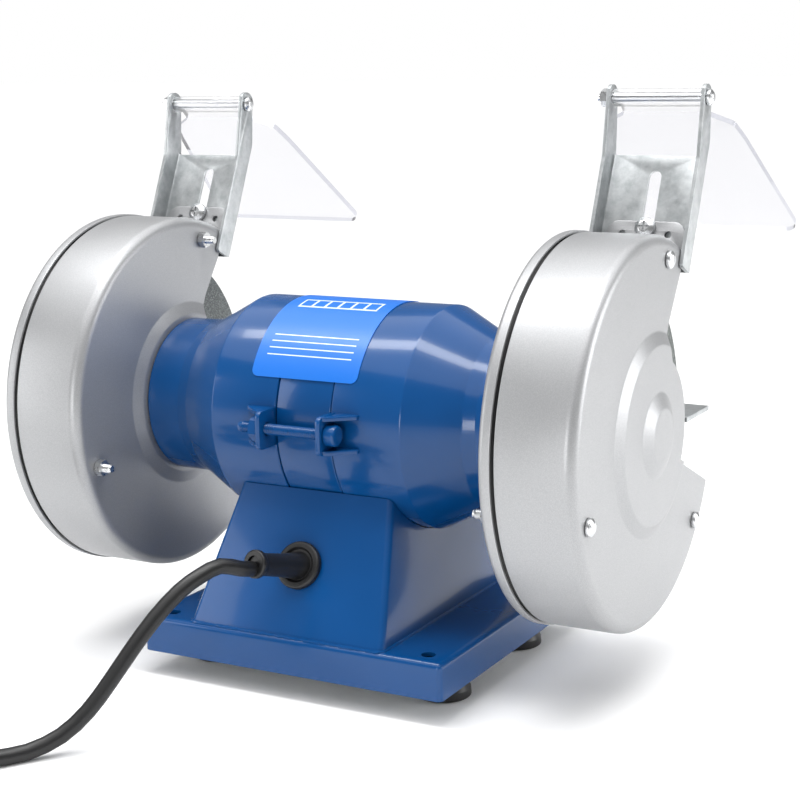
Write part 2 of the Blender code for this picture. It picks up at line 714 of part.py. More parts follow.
def lid(name, middle, closed):
    # The shallow cover on the guard's +X side
    sheet = guard_sheet
    half = guard_width / 2
    rim = lid_radius
    dish_foot, dish_top, dish_rise = 34 * MM, 29 * MM, 2.0 * MM
    if closed:
        outside = [(0, dish_rise), (dish_top, dish_rise), (dish_foot, 0)]
        inside = [(dish_foot - 0.5 * MM, -sheet), (dish_top - 0.5 * MM, dish_rise - sheet), (0, dish_rise - sheet)]
    else:
        outside = [(hub_hole_radius, 0)]
        inside = [(hub_hole_radius, -sheet)]
    outside += [(rim - lid_edge_round, 0), (rim - 0.3 * lid_edge_round, -0.3 * lid_edge_round),
                (rim, -lid_edge_round), (rim, -lid_lip)]
    inside = [(rim - sheet, -lid_lip), (rim - sheet, -sheet)] + inside
    made = turned(name, outside + inside, silver_paint, along_x(middle + half))
    cut(made, mouth(name + "_mouth", middle), *screw_holes(middle))
    turn_hole = along_x(middle, rest_screw_y, shaft_height + rest_screw_z)
    cut(made, rod("rest_screw_hole", turn_hole, rest_screw_radius + gap, 0, guard_width))
    return made


def guard_screw(name, middle, side, y, z):
    # The head is on the outboard face and the nut on the motor's side
    head, thickness = guard_screw_head, 2.4 * MM
    seat = guard_width / 2 + gap
    nut, nut_thickness = 3.7 * MM, 3.0 * MM
    tail = seat + nut_thickness + guard_screw_tail
    shank = guard_screw_radius
    profile = [(0, seat + thickness), (head * 0.55, seat + thickness), (head, seat + thickness * 0.35), (head, seat),
               (shank, seat), (shank, -seat), (nut, -seat), (nut, -seat - nut_thickness),
               (shank, -seat - nut_thickness), (shank, -tail), (0, -tail)]
    turned(name, [(r, side * a) for r, a in profile], zinc_plate, along_x(middle, y, shaft_height + z), small_steps)


def wheel_set(word, side):
    start = guard_inner + wheel_inset
    bore = shaft_radius + gap
    edge = 0.8 * MM
    hub_start = abs(neck_end(side)) + side * motor_offset - bell_plate + gap
    inner = [(flange_radius, start - gap - flange_thickness), (flange_radius, start - gap), (bore, start - gap),
             (bore, hub_start), (flange_hub_radius, hub_start),
             (flange_hub_radius, start - gap - flange_thickness)]
    wheel = [(wheel_radius, start + edge), (wheel_radius, start + wheel_width - edge),
             (wheel_radius - edge, start + wheel_width), (wheel_bore_radius, start + wheel_width),
             (wheel_bore_radius, start), (wheel_radius - edge, start)]
    out = start + wheel_width + gap
    outer = [(flange_radius, out), (flange_radius - 1.5 * MM, out + flange_thickness),
             (bore, out + flange_thickness), (bore, out)]
    seat = out + flange_thickness + gap
    made = []
    for name, profile, finish, steps in (("inner_flange", inner, bright_steel, ring_steps), ("grinding_wheel", wheel, abrasive, turn_steps),
                                         ("outer_flange", outer, bright_steel, ring_steps)):
        made.append(turned(word + "_" + name, [(r, side * a) for r, a in profile], finish, along_x(0), steps))
    made.append(hex_nut(word + "_wheel_nut", shaft_nut_radius, bore, shaft_nut_thickness,
                        side * (seat + shaft_nut_thickness / 2)))
    return made


# Eye shields

def hinge_point(middle, drop):
    origin = Vector((middle, bracket_plane_y, shaft_height + bracket_plane_rise))
    return origin + lean_up * (hinge_up - drop) + lean_out * hinge_out


def bracket(name, middle, drop):
    half = bracket_half
    low, high = web_low - drop, web_high - drop
    slot = arc(0, slot_high - drop - slot_width / 2, slot_width / 2, 0, 180, 6)
    slot += arc(0, slot_low - drop + slot_width / 2, slot_width / 2, 180, 360, 6)
    web_half = half - bracket_sheet * 0.4
    web_foot = low + 0.4 * MM
    web = [(-web_half, web_foot), (web_half, web_foot), (web_half, high), (-web_half, high)]
    made = flat(name, [web, slot], bracket_sheet * 0.8, zinc_plate, lean_frame(middle, 0, bracket_sheet / 2))
    tip = arc(hinge_out, hinge_up - drop, arm_radius, 20, 190, 8)
    foot = 1.5 * MM
    side = [(0, low + foot), (foot, low), (bracket_depth, low), (bracket_depth, high - 4 * MM)] + tip + [(0, high + 2 * MM)]
    hole = circle(hinge_out, hinge_up - drop, hinge_screw_radius + gap)
    for turn in (-1, 1):
        x = middle + turn * (half - bracket_sheet / 2)
        origin = (x, bracket_plane_y, shaft_height + bracket_plane_rise)
        join(made, flat("bracket_side", [side, hole], bracket_sheet, None,
                        frame_of(origin, lean_out, lean_up), cutters))
    return made


def eye_shield(name, middle, drop):
    point = hinge_point(middle, drop)
    down = Vector((0, -math.sin(shield_tilt), -math.cos(shield_tilt)))
    neck, low_half, length = shield_neck_half, shield_half_low, shield_length
    corner = 6 * MM
    right = [(neck, 2.8 * MM), (neck, 9.0 * MM), (neck + 2 * MM, 9.8 * MM), (28.5 * MM, 17 * MM), (31 * MM, 27 * MM)]
    right += arc(low_half - corner, length - corner, corner, -8, 90, 5)
    left = [(-x, y) for x, y in reversed(right)]
    made = flat(name, [right + left], shield_sheet, clear_plastic, frame_of(point, (1, 0, 0), down))
    barrel_half = bracket_half - bracket_sheet - 0.4 * MM
    barrel = [(barrel_radius, -barrel_half), (barrel_radius, barrel_half),
              (barrel_bore, barrel_half), (barrel_bore, -barrel_half)]
    join(made, turned("barrel", barrel, None, along_x(*point), small_steps, cutters))
    return made


def hinge_screw(name, nut_name, middle, drop):
    point = hinge_point(middle, drop)
    seat = bracket_half + gap
    head, thickness, nut_thickness = hinge_head_radius, 2.4 * MM, 3.0 * MM
    end = seat + nut_thickness + 1.6 * MM
    shank = hinge_screw_radius
    profile = [(0, -seat - thickness), (head * 0.6, -seat - thickness), (head, -seat - thickness * 0.4),
               (head, -seat), (shank, -seat), (shank, end), (0, end)]
    screw = turned(name, profile, zinc_plate, along_x(*point), small_steps)
    nut = hex_nut(nut_name, hinge_nut_radius, shank + gap, nut_thickness, middle + seat + nut_thickness / 2,
                  point.y, point.z)
    return screw, nut


def clamp_screw(name, middle):
    # Through the guard's tab and the bracket's slot
    origin = Vector((middle, bracket_plane_y, shaft_height + bracket_plane_rise)) + lean_up * clamp_up
    head_seat = bracket_sheet + gap + tab_sheet + gap
    head, thickness, nut, nut_thickness = 4.4 * MM, 2.8 * MM, 4.6 * MM, 3.6 * MM
    profile = [(0, head_seat + thickness), (head * 0.6, head_seat + thickness), (head, head_seat + thickness * 0.4),
               (head, head_seat), (clamp_radius, head_seat), (clamp_radius, -gap), (nut, -gap),
               (nut, -gap - nut_thickness), (clamp_radius, -gap - nut_thickness),
               (clamp_radius, -2 * gap - nut_thickness - 1.5 * MM), (0, -2 * gap - nut_thickness - 1.5 * MM)]
    turned(name, profile, zinc_plate, along(origin, lean_out), small_steps)


# Tool rests

def tool_rest(name, middle):
    # A flat rest on a leg that runs back along the guard's +X face, with a slot for its screw
    inner = -(wheel_radius + rest_to_wheel)
    outer = inner - rest_depth
    level = shaft_height + rest_top
    leg = middle + guard_width / 2 + gap + rest_sheet / 2
    made = block(name, (middle - rest_half_length, outer, level - rest_sheet), (leg + rest_sheet / 2, inner, level),
                 zinc_plate)
    half = rest_leg_height / 2
    outline = [(outer, rest_top - rest_sheet / 2), (inner, rest_top - rest_sheet / 2),
               (inner + 4 * MM, rest_screw_z + half), (rest_screw_y + rest_slide_out + 6 * MM, rest_screw_z + half),
               (rest_screw_y + rest_slide_out + 6 * MM, rest_screw_z - half), (inner - 3 * MM, rest_screw_z - half),
               (outer, rest_top - 12 * MM)]
    slot_half = rest_screw_radius + gap
    slot = arc(rest_screw_y + rest_slide_out, rest_screw_z, slot_half, -90, 90, 6)
    slot += arc(rest_screw_y - rest_slide_in, rest_screw_z, slot_half, 90, 270, 6)
    join(made, flat("rest_leg", [outline, slot], rest_sheet, None,
                    frame_of((leg, 0, shaft_height), (0, 1, 0), (0, 0, 1)), cutters))
    return made


def rest_screw(name, middle):
    seat = guard_width / 2 + gap + rest_sheet + gap
    head, thickness = 6.0 * MM, 5.5 * MM
    tip = guard_width / 2 - guard_sheet - 2.5 * MM
    profile = [(0, tip), (rest_screw_radius, tip), (rest_screw_radius, seat), (head, seat), (head, seat + thickness - 1 * MM),
               (head - 1 * MM, seat + thickness), (0, seat + thickness)]
    turned(name, profile, bright_steel, along_x(middle, rest_screw_y, shaft_height + rest_screw_z), small_steps)


# Power cord

def smooth(points, pieces):
    # Catmull-Rom curve through the points, with this many pieces to each stretch
    ends = [2 * points[0] - points[1]] + points + [2 * points[-1] - points[-2]]
    curve = []
    for p0, p1, p2, p3 in zip(ends, ends[1:], ends[2:], ends[3:]):
        for i in range(pieces):
            t = i / pieces
            curve.append(0.5 * (2 * p1 + (p2 - p0) * t + (2 * p0 - 5 * p1 + 4 * p2 - p3) * t * t
                                + (3 * p1 - p0 - 3 * p2 + p3) * t ** 3))
    return curve + [points[-1]]


def tube(name, points):
    curve = bpy.data.curves.new(name, "CURVE")
    curve.dimensions = "3D"
    curve.bevel_depth = cord_radius
    curve.bevel_resolution = 2
    curve.use_fill_caps = True
    spline = curve.splines.new("POLY")
    spline.points.add(len(points) - 1)
    for point, place_at in zip(spline.points, points):
        point.co = (*place_at, 1)
    drawn = bpy.data.objects.new(name + "_route", curve)
    parts.objects.link(drawn)
    return meshed(name, drawn, Matrix(), black_rubber, parts)


def power_cord():
    lying = ground + cord_radius
    tip = gland_point + boot_direction * (boot_length + gap)
    route = [tip, tip + boot_direction * 7 * MM]
    for x, y, z in ((11.9, 95.2, 52.0), (15.9, 103.5, 49.6), (20.1, 111.8, 45.0), (25.0, 121.2, 36.6),
                    (29.6, 130.4, 26.2), (34.4, 138.8, 15.0), (39.4, 146.6, 5.0), (45.6, 155.4, -2.8)):
        route.append(Vector((x, y, z)) * MM)
    for x, y in ((53.4, 165.8), (61.0, 177.0), (67.8, 189.6), (73.0, 202.6), (76.2, 214.0)):
        route.append(Vector((x * MM, y * MM, lying)))
    tube("power_cord", smooth(route, 2))
    width = 2 * cord_radius
    low, mid, high = ground, ground + 2 * width, ground + 3 * width
    near, far = coil_mean_radius - 1.5 * width, coil_mean_radius + 1.5 * width
    peak_in, peak_out = coil_mean_radius - width / 2, coil_mean_radius + width / 2
    section = [(near, low), (far, low), (far, mid), (peak_out, mid), (peak_out, high), (peak_in, high),
               (peak_in, mid), (near, mid)]
    x, y = coil_centre
    turned("cord_coil", section, black_rubber, Matrix.Translation((x, y, 0)), turn_steps)
    # The plug's cord leaves the top turn
    away = Vector((math.cos(math.radians(20)), math.sin(math.radians(20)), 0))
    side = Vector((-away.y, away.x, 0))
    leave = Vector((x, y, ground + plug_radius + gap)) + side * coil_mean_radius
    plug(leave + away * coil_mean_radius, away)


def plug(point, away):
    grip, body = plug_length * 0.55, plug_length
    profile = [(0, 0), (cord_radius, 0), (cord_radius, plug_tail), (5.0 * MM, plug_tail),
               (6.4 * MM, plug_tail + grip * 0.7), (13.5 * MM, plug_tail + grip),
               (plug_radius, plug_tail + grip + 3 * MM), (plug_radius, plug_tail + body - 1 * MM),
               (plug_radius - 1 * MM, plug_tail + body), (0, plug_tail + body)]
    made = turned("power_plug", profile, black_plastic, along(point, away), ring_steps)
    across = Vector((-away.y, away.x, 0))
    for side in (-1, 1):
        foot = point + away * plug_tail + across * side * plug_pin_spacing / 2
        join(made, rod("plug_pin", along(foot, away), plug_pin_radius, body - 2 * MM, body + plug_pin_length))


# Assembly

base_shell()
bottom_plate_and_feet()
cable_gland()
switch()
capacitor()
bell("end_bell_left", -1)
bell("end_bell_right", 1)
tie_bolt("tie_bolt_rear", "tie_nut_rear", 1)
tie_bolt("tie_bolt_front", "tie_nut_front", -1)
spinning = stator_and_rotor()
rating_label()

for word, side in (("left", -1), ("right", 1)):
    middle = side * guard_middle
    drop = right_bracket_drop if side > 0 else 0.0
    pan(word + "_guard_pan", middle, side < 0)
    lid(word + "_guard_lid", middle, side > 0)
    for place_word, (y, z) in zip(("top", "rear", "front"), screw_spots()):
        guard_screw(word + "_guard_screw_" + place_word, middle, side, y, z)
    spinning += wheel_set(word, side)
    arms = bracket(word + "_shield_bracket", middle, drop)
    shield = eye_shield(word + "_eye_shield", middle, drop)
    screw, nut = hinge_screw(word + "_hinge_screw", word + "_hinge_nut", middle, drop)
    clamp_screw(word + "_clamp_screw", middle)
    rest = tool_rest(word + "_tool_rest", middle)
    rest_screw(word + "_rest_screw", middle)
    pivot(word + "_bracket_slide", hinge_point(middle, drop), arms, screw, nut)
    pivot(word + "_shield_pivot", hinge_point(middle, drop), shield)
    pivot(word + "_rest_slide", (middle, rest_screw_y, shaft_height + rest_screw_z), rest)

pivot("rotor_spin", (0, 0, shaft_height), *spinning)
power_cord()

for obj in parts.objects:
    if obj.type == "MESH":
        obj.data.shade_smooth()
        obj.data.set_sharp_from_angle(angle=math.radians(35))
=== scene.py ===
import math
import bpy
from mathutils import Matrix, Vector


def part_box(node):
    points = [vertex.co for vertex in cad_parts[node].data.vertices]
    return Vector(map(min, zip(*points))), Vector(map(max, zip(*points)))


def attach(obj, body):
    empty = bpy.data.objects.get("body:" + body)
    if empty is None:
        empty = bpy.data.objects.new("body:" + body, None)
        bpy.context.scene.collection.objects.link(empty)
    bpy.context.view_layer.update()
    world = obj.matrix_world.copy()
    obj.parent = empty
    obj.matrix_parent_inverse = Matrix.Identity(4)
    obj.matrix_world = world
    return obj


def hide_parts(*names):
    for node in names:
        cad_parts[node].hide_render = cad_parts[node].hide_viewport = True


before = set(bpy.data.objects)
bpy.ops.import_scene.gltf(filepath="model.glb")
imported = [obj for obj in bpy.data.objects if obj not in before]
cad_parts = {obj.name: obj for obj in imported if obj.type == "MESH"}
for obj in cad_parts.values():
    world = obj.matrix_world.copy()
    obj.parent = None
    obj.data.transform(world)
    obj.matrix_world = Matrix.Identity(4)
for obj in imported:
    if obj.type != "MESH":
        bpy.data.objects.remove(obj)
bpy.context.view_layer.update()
mm = 0.001
shaftLow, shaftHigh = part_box("rotor_shaft")
shaftHeight = (shaftLow[2] + shaftHigh[2]) / 2 / mm
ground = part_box("foot_rear_left")[0][2] / mm
print("frame loaded, shaft at", round(shaftHeight, 1), "mm")

cameraValues = {"spot": (-362.5, 631.3, 245.6), "turn": 3.6413, "rise": 0.1947, "roll": -0.01544, "lens": 77.25}


def addCamera(v):
    back = Vector((math.sin(v["turn"]) * math.cos(v["rise"]), -math.cos(v["turn"]) * math.cos(v["rise"]),
                   math.sin(v["rise"])))
    right = Vector((math.cos(v["turn"]), math.sin(v["turn"]), 0))
    up = back.cross(right)
    c, s = math.cos(v["roll"]), math.sin(v["roll"])
    sheet = bpy.data.cameras.new("camera")
    sheet.lens = v["lens"]
    sheet.sensor_width = 36
    sheet.clip_start = 0.01
    camera = bpy.data.objects.new("camera", sheet)
    bpy.context.scene.collection.objects.link(camera)
    turned = Matrix((c * right + s * up, c * up - s * right, back)).transposed().to_4x4()
    camera.matrix_world = Matrix.Translation(Vector(v["spot"]) * mm) @ turned
    bpy.context.scene.camera = camera


addCamera(cameraValues)


# all sizes below are in mm
def deselect():
    if bpy.context.object and bpy.context.object.mode != "OBJECT":
        bpy.ops.object.mode_set(mode="OBJECT")
    bpy.ops.object.select_all(action="DESELECT")


def pick(obj):
    deselect()
    obj.select_set(True)
    bpy.context.view_layer.objects.active = obj


def rounded(points, steps=5, closed=True):
    # a point's third value is its corner radius
    made = []
    count = len(points)
    for i, p in enumerate(points):
        here = Vector(p[:2])
        radius = p[2] if len(p) > 2 else 0
        if not radius or (not closed and i in (0, count - 1)):
            made.append((here.x, here.y))
            continue
        before = Vector(points[i - 1][:2]) - here
        after = Vector(points[(i + 1) % count][:2]) - here
        half = before.angle(after) / 2
        reach = min(radius / math.tan(half), before.length * 0.49, after.length * 0.49)
        r = reach * math.tan(half)
        centre = here + (before.normalized() + after.normalized()).normalized() * (r / math.sin(half))
        start = here + before.normalized() * reach - centre
        end = here + after.normalized() * reach - centre
        sweep = start.angle_signed(end)
        for k in range(steps + 1):
            a = -sweep * k / steps
            x = start.x * math.cos(a) - start.y * math.sin(a)
            y = start.x * math.sin(a) + start.y * math.cos(a)
            made.append((centre.x + x, centre.y + y))
    return made


def arc(x, y, r, first, last, steps):
    return [(x + r * math.cos(math.radians(first + (last - first) * i / steps)),
             y + r * math.sin(math.radians(first + (last - first) * i / steps))) for i in range(steps + 1)]


def ring(x, y, r, steps=32):
    return arc(x, y, r, 0, 360 - 360 / steps, steps - 1)


def settle(obj, where):
    # the place goes into the mesh, the object stays at the origin
    pick(obj)
    obj.matrix_world = where @ obj.matrix_world
    bpy.ops.object.transform_apply(location=True, rotation=True, scale=True)


def shift(x, y, z):
    return Matrix.Translation(Vector((x, y, z)) * mm)


def alongX(x, y=0.0, z=None):
    return shift(x, y, shaftHeight if z is None else z) @ Matrix.Rotation(math.pi / 2, 4, "Y")


def along(point, direction):
    return shift(*point) @ Vector(direction).to_track_quat("Z", "Y").to_matrix().to_4x4()


def axes(origin, xAxis, yAxis):
    xAxis, yAxis = Vector(xAxis), Vector(yAxis)
    made = Matrix((xAxis, yAxis, xAxis.cross(yAxis))).transposed().to_4x4()
    made.translation = Vector(origin) * mm
    return made


def sideOn(x, y=0.0):
    # a sheet that faces along the shaft
    return axes((x, y, shaftHeight), (0, 1, 0), (0, 0, 1))


def lathe(name, profile, where, segments=128, side=1):
    # a ring is extruded and scaled from point to point, back to the first one where the profile is closed
    pole = 0.003
    points = [(max(r, pole), a * side) for r, a in profile]
    deselect()
    radius, level = points[0]
    bpy.ops.mesh.primitive_circle_add(vertices=segments, radius=radius * mm, location=(0, 0, level * mm))
    obj = bpy.context.object
    obj.name = name
    bpy.ops.object.transform_apply(location=True, rotation=True, scale=True)
    bpy.ops.object.mode_set(mode="EDIT")
    bpy.ops.mesh.select_all(action="SELECT")
    for r, a in points[1:]:
        bpy.ops.mesh.extrude_edges_move(TRANSFORM_OT_translate={"value": (0, 0, (a - level) * mm)})
        if abs(r - radius) > 1e-9:
            k = r / radius
            bpy.ops.transform.resize(value=(k, k, 1), center_override=(0, 0, a * mm))
        radius, level = r, a
    bpy.ops.mesh.select_all(action="SELECT")
    bpy.ops.mesh.remove_doubles(threshold=0.00001)
    bpy.ops.mesh.normals_make_consistent(inside=False)
    bpy.ops.object.mode_set(mode="OBJECT")
    settle(obj, where)
    return obj


def closedLoop(points):
    return list(points) + [points[0]]


def drill(radius, low, high, where, segments=28):
    return lathe("drill", [(0, low), (radius, low), (radius, high), (0, high)], where, segments)


def plate(name, outline, thick, where, holes=(), edge=0.0, segments=2):
    curve = bpy.data.curves.new(name, "CURVE")
    curve.dimensions = "2D"
    curve.fill_mode = "BOTH"
    curve.extrude = thick / 2 * mm
    for loop in [outline] + list(holes):
        spline = curve.splines.new("POLY")
        spline.points.add(len(loop) - 1)
        for point, (x, y) in zip(spline.points, loop):
            point.co = (x * mm, y * mm, 0, 1)
        spline.use_cyclic_u = True
    obj = bpy.data.objects.new(name, curve)
    bpy.context.scene.collection.objects.link(obj)
    pick(obj)
    bpy.ops.object.convert(target="MESH")
    obj = bpy.context.object
    bpy.ops.object.mode_set(mode="EDIT")
    bpy.ops.mesh.select_all(action="SELECT")
    bpy.ops.mesh.remove_doubles(threshold=0.000001)
    bpy.ops.mesh.normals_make_consistent(inside=False)
    bpy.ops.object.mode_set(mode="OBJECT")
    settle(obj, where)
    if edge:
        soften(obj, edge, segments)
    return obj


def soften(obj, width, segments=2, angle=35):
    pick(obj)
    step = obj.modifiers.new("softEdge", "BEVEL")
    step.width = width * mm
    step.segments = segments
    step.limit_method = "ANGLE"
    step.angle_limit = math.radians(angle)
    bpy.ops.object.modifier_apply(modifier=step.name)


def bevelEdges(obj, width, segments, wanted):
    # wanted looks at the two ends of an edge
    pick(obj)
    bpy.ops.object.mode_set(mode="EDIT")
    bpy.ops.mesh.select_mode(type="EDGE")
    bpy.ops.mesh.select_all(action="DESELECT")
    bpy.ops.object.mode_set(mode="OBJECT")
    for edge in obj.data.edges:
        edge.select = wanted(*(obj.data.vertices[i].co for i in edge.vertices))
    bpy.ops.object.mode_set(mode="EDIT")
    bpy.ops.mesh.bevel(offset=width * mm, segments=segments, affect="EDGES")
    bpy.ops.object.mode_set(mode="OBJECT")


def block(name, low, high, where=None):
    deselect()
    middle = [(a + b) / 2 * mm for a, b in zip(low, high)]
    bpy.ops.mesh.primitive_cube_add(size=1, location=middle)
    obj = bpy.context.object
    obj.name = name
    obj.scale = [(b - a) * mm for a, b in zip(low, high)]
    bpy.ops.object.transform_apply(location=True, rotation=True, scale=True)
    if where:
        settle(obj, where)
    return obj


def combine(obj, others, operation="UNION"):
    for other in others:
        pick(obj)
        step = obj.modifiers.new("shape", "BOOLEAN")
        step.operation = operation
        step.solver = "EXACT"
        step.object = other
        bpy.ops.object.modifier_apply(modifier=step.name)
        bpy.data.objects.remove(other, do_unlink=True)
    return obj


def gather(obj, others):
    deselect()
    for other in others:
        other.select_set(True)
    obj.select_set(True)
    bpy.context.view_layer.objects.active = obj
    bpy.ops.object.join()
    return obj


def done(obj, material, body, stands=(), angle=32):
    pick(obj)
    obj.data.materials.clear()
    obj.data.materials.append(material)
    bpy.ops.object.shade_smooth_by_angle(angle=math.radians(angle))
    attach(obj, body)
    if stands:
        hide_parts(*stands)
    return obj


def nodeMaterial(name, color, rough, metal=0.0):
    made = bpy.data.materials.new(name)
    made.use_nodes = True
    shader = made.node_tree.nodes["Principled BSDF"]
    shader.inputs["Base Color"].default_value = (*color, 1)
    shader.inputs["Roughness"].default_value = rough
    shader.inputs["Metallic"].default_value = metal
    place = made.node_tree.nodes.new("ShaderNodeTexCoord")
    return made, made.node_tree, shader, place.outputs["Object"]


def noise(tree, vector, scale, detail=4, rough=0.5):
    made = tree.nodes.new("ShaderNodeTexNoise")
    made.inputs["Scale"].default_value = scale
    made.inputs["Detail"].default_value = detail
    made.inputs["Roughness"].default_value = rough
    tree.links.new(vector, made.inputs["Vector"])
    return made.outputs["Fac"]


def cells(tree, vector, scale):
    made = tree.nodes.new("ShaderNodeTexVoronoi")
    made.inputs["Scale"].default_value = scale
    tree.links.new(vector, made.inputs["Vector"])
    split = tree.nodes.new("ShaderNodeSeparateColor")
    tree.links.new(made.outputs["Color"], split.inputs["Color"])
    return made.outputs["Distance"], split.outputs["Red"], split.outputs["Green"]


def waves(tree, vector, scale, distortion=0.0):
    made = tree.nodes.new("ShaderNodeTexWave")
    made.inputs["Scale"].default_value = scale
    made.inputs["Distortion"].default_value = distortion
    tree.links.new(vector, made.inputs["Vector"])
    return made.outputs["Fac"]


def tint(tree, shader, value, stops):
    made = tree.nodes.new("ShaderNodeValToRGB")
    band = made.color_ramp
    while len(band.elements) < len(stops):
        band.elements.new(0.5)
    for element, (at, color) in zip(band.elements, stops):
        element.position = at
        element.color = (*color, 1)
    tree.links.new(value, made.inputs["Fac"])
    tree.links.new(made.outputs["Color"], shader.inputs["Base Color"])


def shine(tree, shader, value, low, high):
    made = tree.nodes.new("ShaderNodeMapRange")
    made.inputs["To Min"].default_value = low
    made.inputs["To Max"].default_value = high
    tree.links.new(value, made.inputs["Value"])
    tree.links.new(made.outputs["Result"], shader.inputs["Roughness"])


def maths(tree, operation, a, b):
    made = tree.nodes.new("ShaderNodeMath")
    made.operation = operation
    for slot, value in zip(made.inputs, (a, b)):
        if isinstance(value, float):
            slot.default_value = value
        else:
            tree.links.new(value, slot)
    return made.outputs[0]


def bump(tree, shader, height, strength, depth):
    made = tree.nodes.new("ShaderNodeBump")
    made.inputs["Strength"].default_value = strength
    made.inputs["Distance"].default_value = depth * mm
    tree.links.new(height, made.inputs["Height"])
    tree.links.new(made.outputs["Normal"], shader.inputs["Normal"])


def makeBluePaint():
    made, tree, shader, spot = nodeMaterial("blueEnamel", (0.002, 0.058, 0.21), 0.2)
    tint(tree, shader, noise(tree, spot, 14, 3), [(0.3, (0.0015, 0.053, 0.19)), (0.7, (0.0025, 0.064, 0.228))])
    shine(tree, shader, noise(tree, spot, 60, 5), 0.16, 0.24)
    shader.inputs["Specular IOR Level"].default_value = 0.3
    shader.inputs["Coat Weight"].default_value = 0.25
    shader.inputs["Coat Roughness"].default_value = 0.05
    bump(tree, shader, noise(tree, spot, 260, 2), 0.06, 0.3)
    return made


def makeSilverPaint():
    made, tree, shader, spot = nodeMaterial("silverEnamel", (0.4, 0.405, 0.41), 0.34, 0.6)
    flake = cells(tree, spot, 2600)[0]
    tint(tree, shader, flake, [(0.0, (0.47, 0.475, 0.48)), (0.6, (0.37, 0.375, 0.385))])
    shine(tree, shader, noise(tree, spot, 45, 4), 0.36, 0.46)
    bump(tree, shader, noise(tree, spot, 900, 3), 0.08, 0.2)
    return made


def makeZinc():
    # mottled zinc sheet, with faint crystals in its shine
    made, tree, shader, spot = nodeMaterial("spangledZinc", (0.55, 0.57, 0.58), 0.36, 0.75)
    tint(tree, shader, noise(tree, spot, 170, 9, 0.72),
         [(0.32, (0.36, 0.385, 0.39)), (0.5, (0.47, 0.49, 0.5)), (0.68, (0.56, 0.58, 0.585))])
    shine(tree, shader, cells(tree, spot, 420)[2], 0.33, 0.41)
    bump(tree, shader, noise(tree, spot, 240, 4), 0.06, 0.2)
    return made


def makeTurnedSteel():
    made, tree, shader, spot = nodeMaterial("turnedSteel", (0.56, 0.56, 0.56), 0.3, 1.0)
    marks = waves(tree, spot, 900, 1.2)
    shine(tree, shader, marks, 0.26, 0.4)
    bump(tree, shader, marks, 0.08, 0.05)
    return made


def makeGrit():
    made, tree, shader, spot = nodeMaterial("bondedGrit", (0.12, 0.14, 0.13), 0.9)
    distance, tone, rough = cells(tree, spot, 2000)
    tint(tree, shader, tone, [(0.0, (0.09, 0.1, 0.1)), (0.55, (0.15, 0.165, 0.16)),
                              (0.85, (0.21, 0.225, 0.22)), (1.0, (0.3, 0.31, 0.3))])
    shine(tree, shader, rough, 0.65, 1.0)
    bump(tree, shader, distance, 0.4, 0.5)
    return made


def makeClear(name, color, rough=0.01):
    made, tree, shader, spot = nodeMaterial(name, color, rough)
    shader.inputs["Transmission Weight"].default_value = 1.0
    shader.inputs["IOR"].default_value = 1.03
    shader.inputs["Coat Weight"].default_value = 0.8
    shader.inputs["Coat Roughness"].default_value = 0.04
    shine(tree, shader, noise(tree, spot, 30, 3), rough, rough + 0.03)
    return made


def makeLaminate():
    made, tree, shader, spot = nodeMaterial("stackedSteel", (0.3, 0.31, 0.33), 0.5, 0.9)
    sheets = waves(tree, spot, 320)
    tint(tree, shader, sheets, [(0.2, (0.16, 0.16, 0.17)), (0.6, (0.34, 0.35, 0.37))])
    bump(tree, shader, sheets, 0.3, 0.2)
    return made


def makeCopper():
    made, tree, shader, spot = nodeMaterial("enamelledCopper", (0.6, 0.25, 0.12), 0.35, 0.85)
    tint(tree, shader, noise(tree, spot, 300, 4), [(0.3, (0.42, 0.16, 0.07)), (0.7, (0.68, 0.3, 0.15))])
    bump(tree, shader, noise(tree, spot, 420, 3), 0.5, 0.5)
    return made


# patch and grain are a noise's scale and detail; bump is its strength and depth
evenFinishes = {
    "brightPlating": {"color": (0.66, 0.67, 0.68), "metal": 1.0, "patch": (700, 4), "shine": (0.2, 0.38),
                      "grain": (1400, 2), "bump": (0.06, 0.1)},
    "blackRubber": {"color": (0.006, 0.006, 0.0065), "metal": 0.0, "patch": (90, 4), "shine": (0.36, 0.5),
                    "grain": (1100, 3), "bump": (0.15, 0.2)},
    "blackPlastic": {"color": (0.02, 0.02, 0.022), "metal": 0.0, "patch": (70, 3), "shine": (0.34, 0.46),
                     "grain": (1600, 2), "bump": (0.2, 0.12)},
    "redPlastic": {"color": (0.55, 0.02, 0.015), "metal": 0.0, "patch": (50, 3), "shine": (0.25, 0.36),
                   "grain": (1300, 2), "bump": (0.05, 0.1)},
}


def makeEven(name):
    v = evenFinishes[name]
    made, tree, shader, spot = nodeMaterial(name, v["color"], 0.4, v["metal"])
    shine(tree, shader, noise(tree, spot, *v["patch"]), *v["shine"])
    bump(tree, shader, noise(tree, spot, *v["grain"]), *v["bump"])
    return made


# the sticker's print, as shares of its width and length
printValues = {
    "blue": (0.004, 0.145, 0.6), "white": (0.6, 0.68, 0.82), "boxWidth": 0.125, "boxHeight": 0.12, "stroke": 0.012,
    "boxRow": (0.594, 0.726), "boxSpan": (0.119, 0.881), "lines": (0.3, 0.25, 0.2, 0.15), "lineWidth": 0.008,
    "lineSpan": (0.1, 0.9),
}


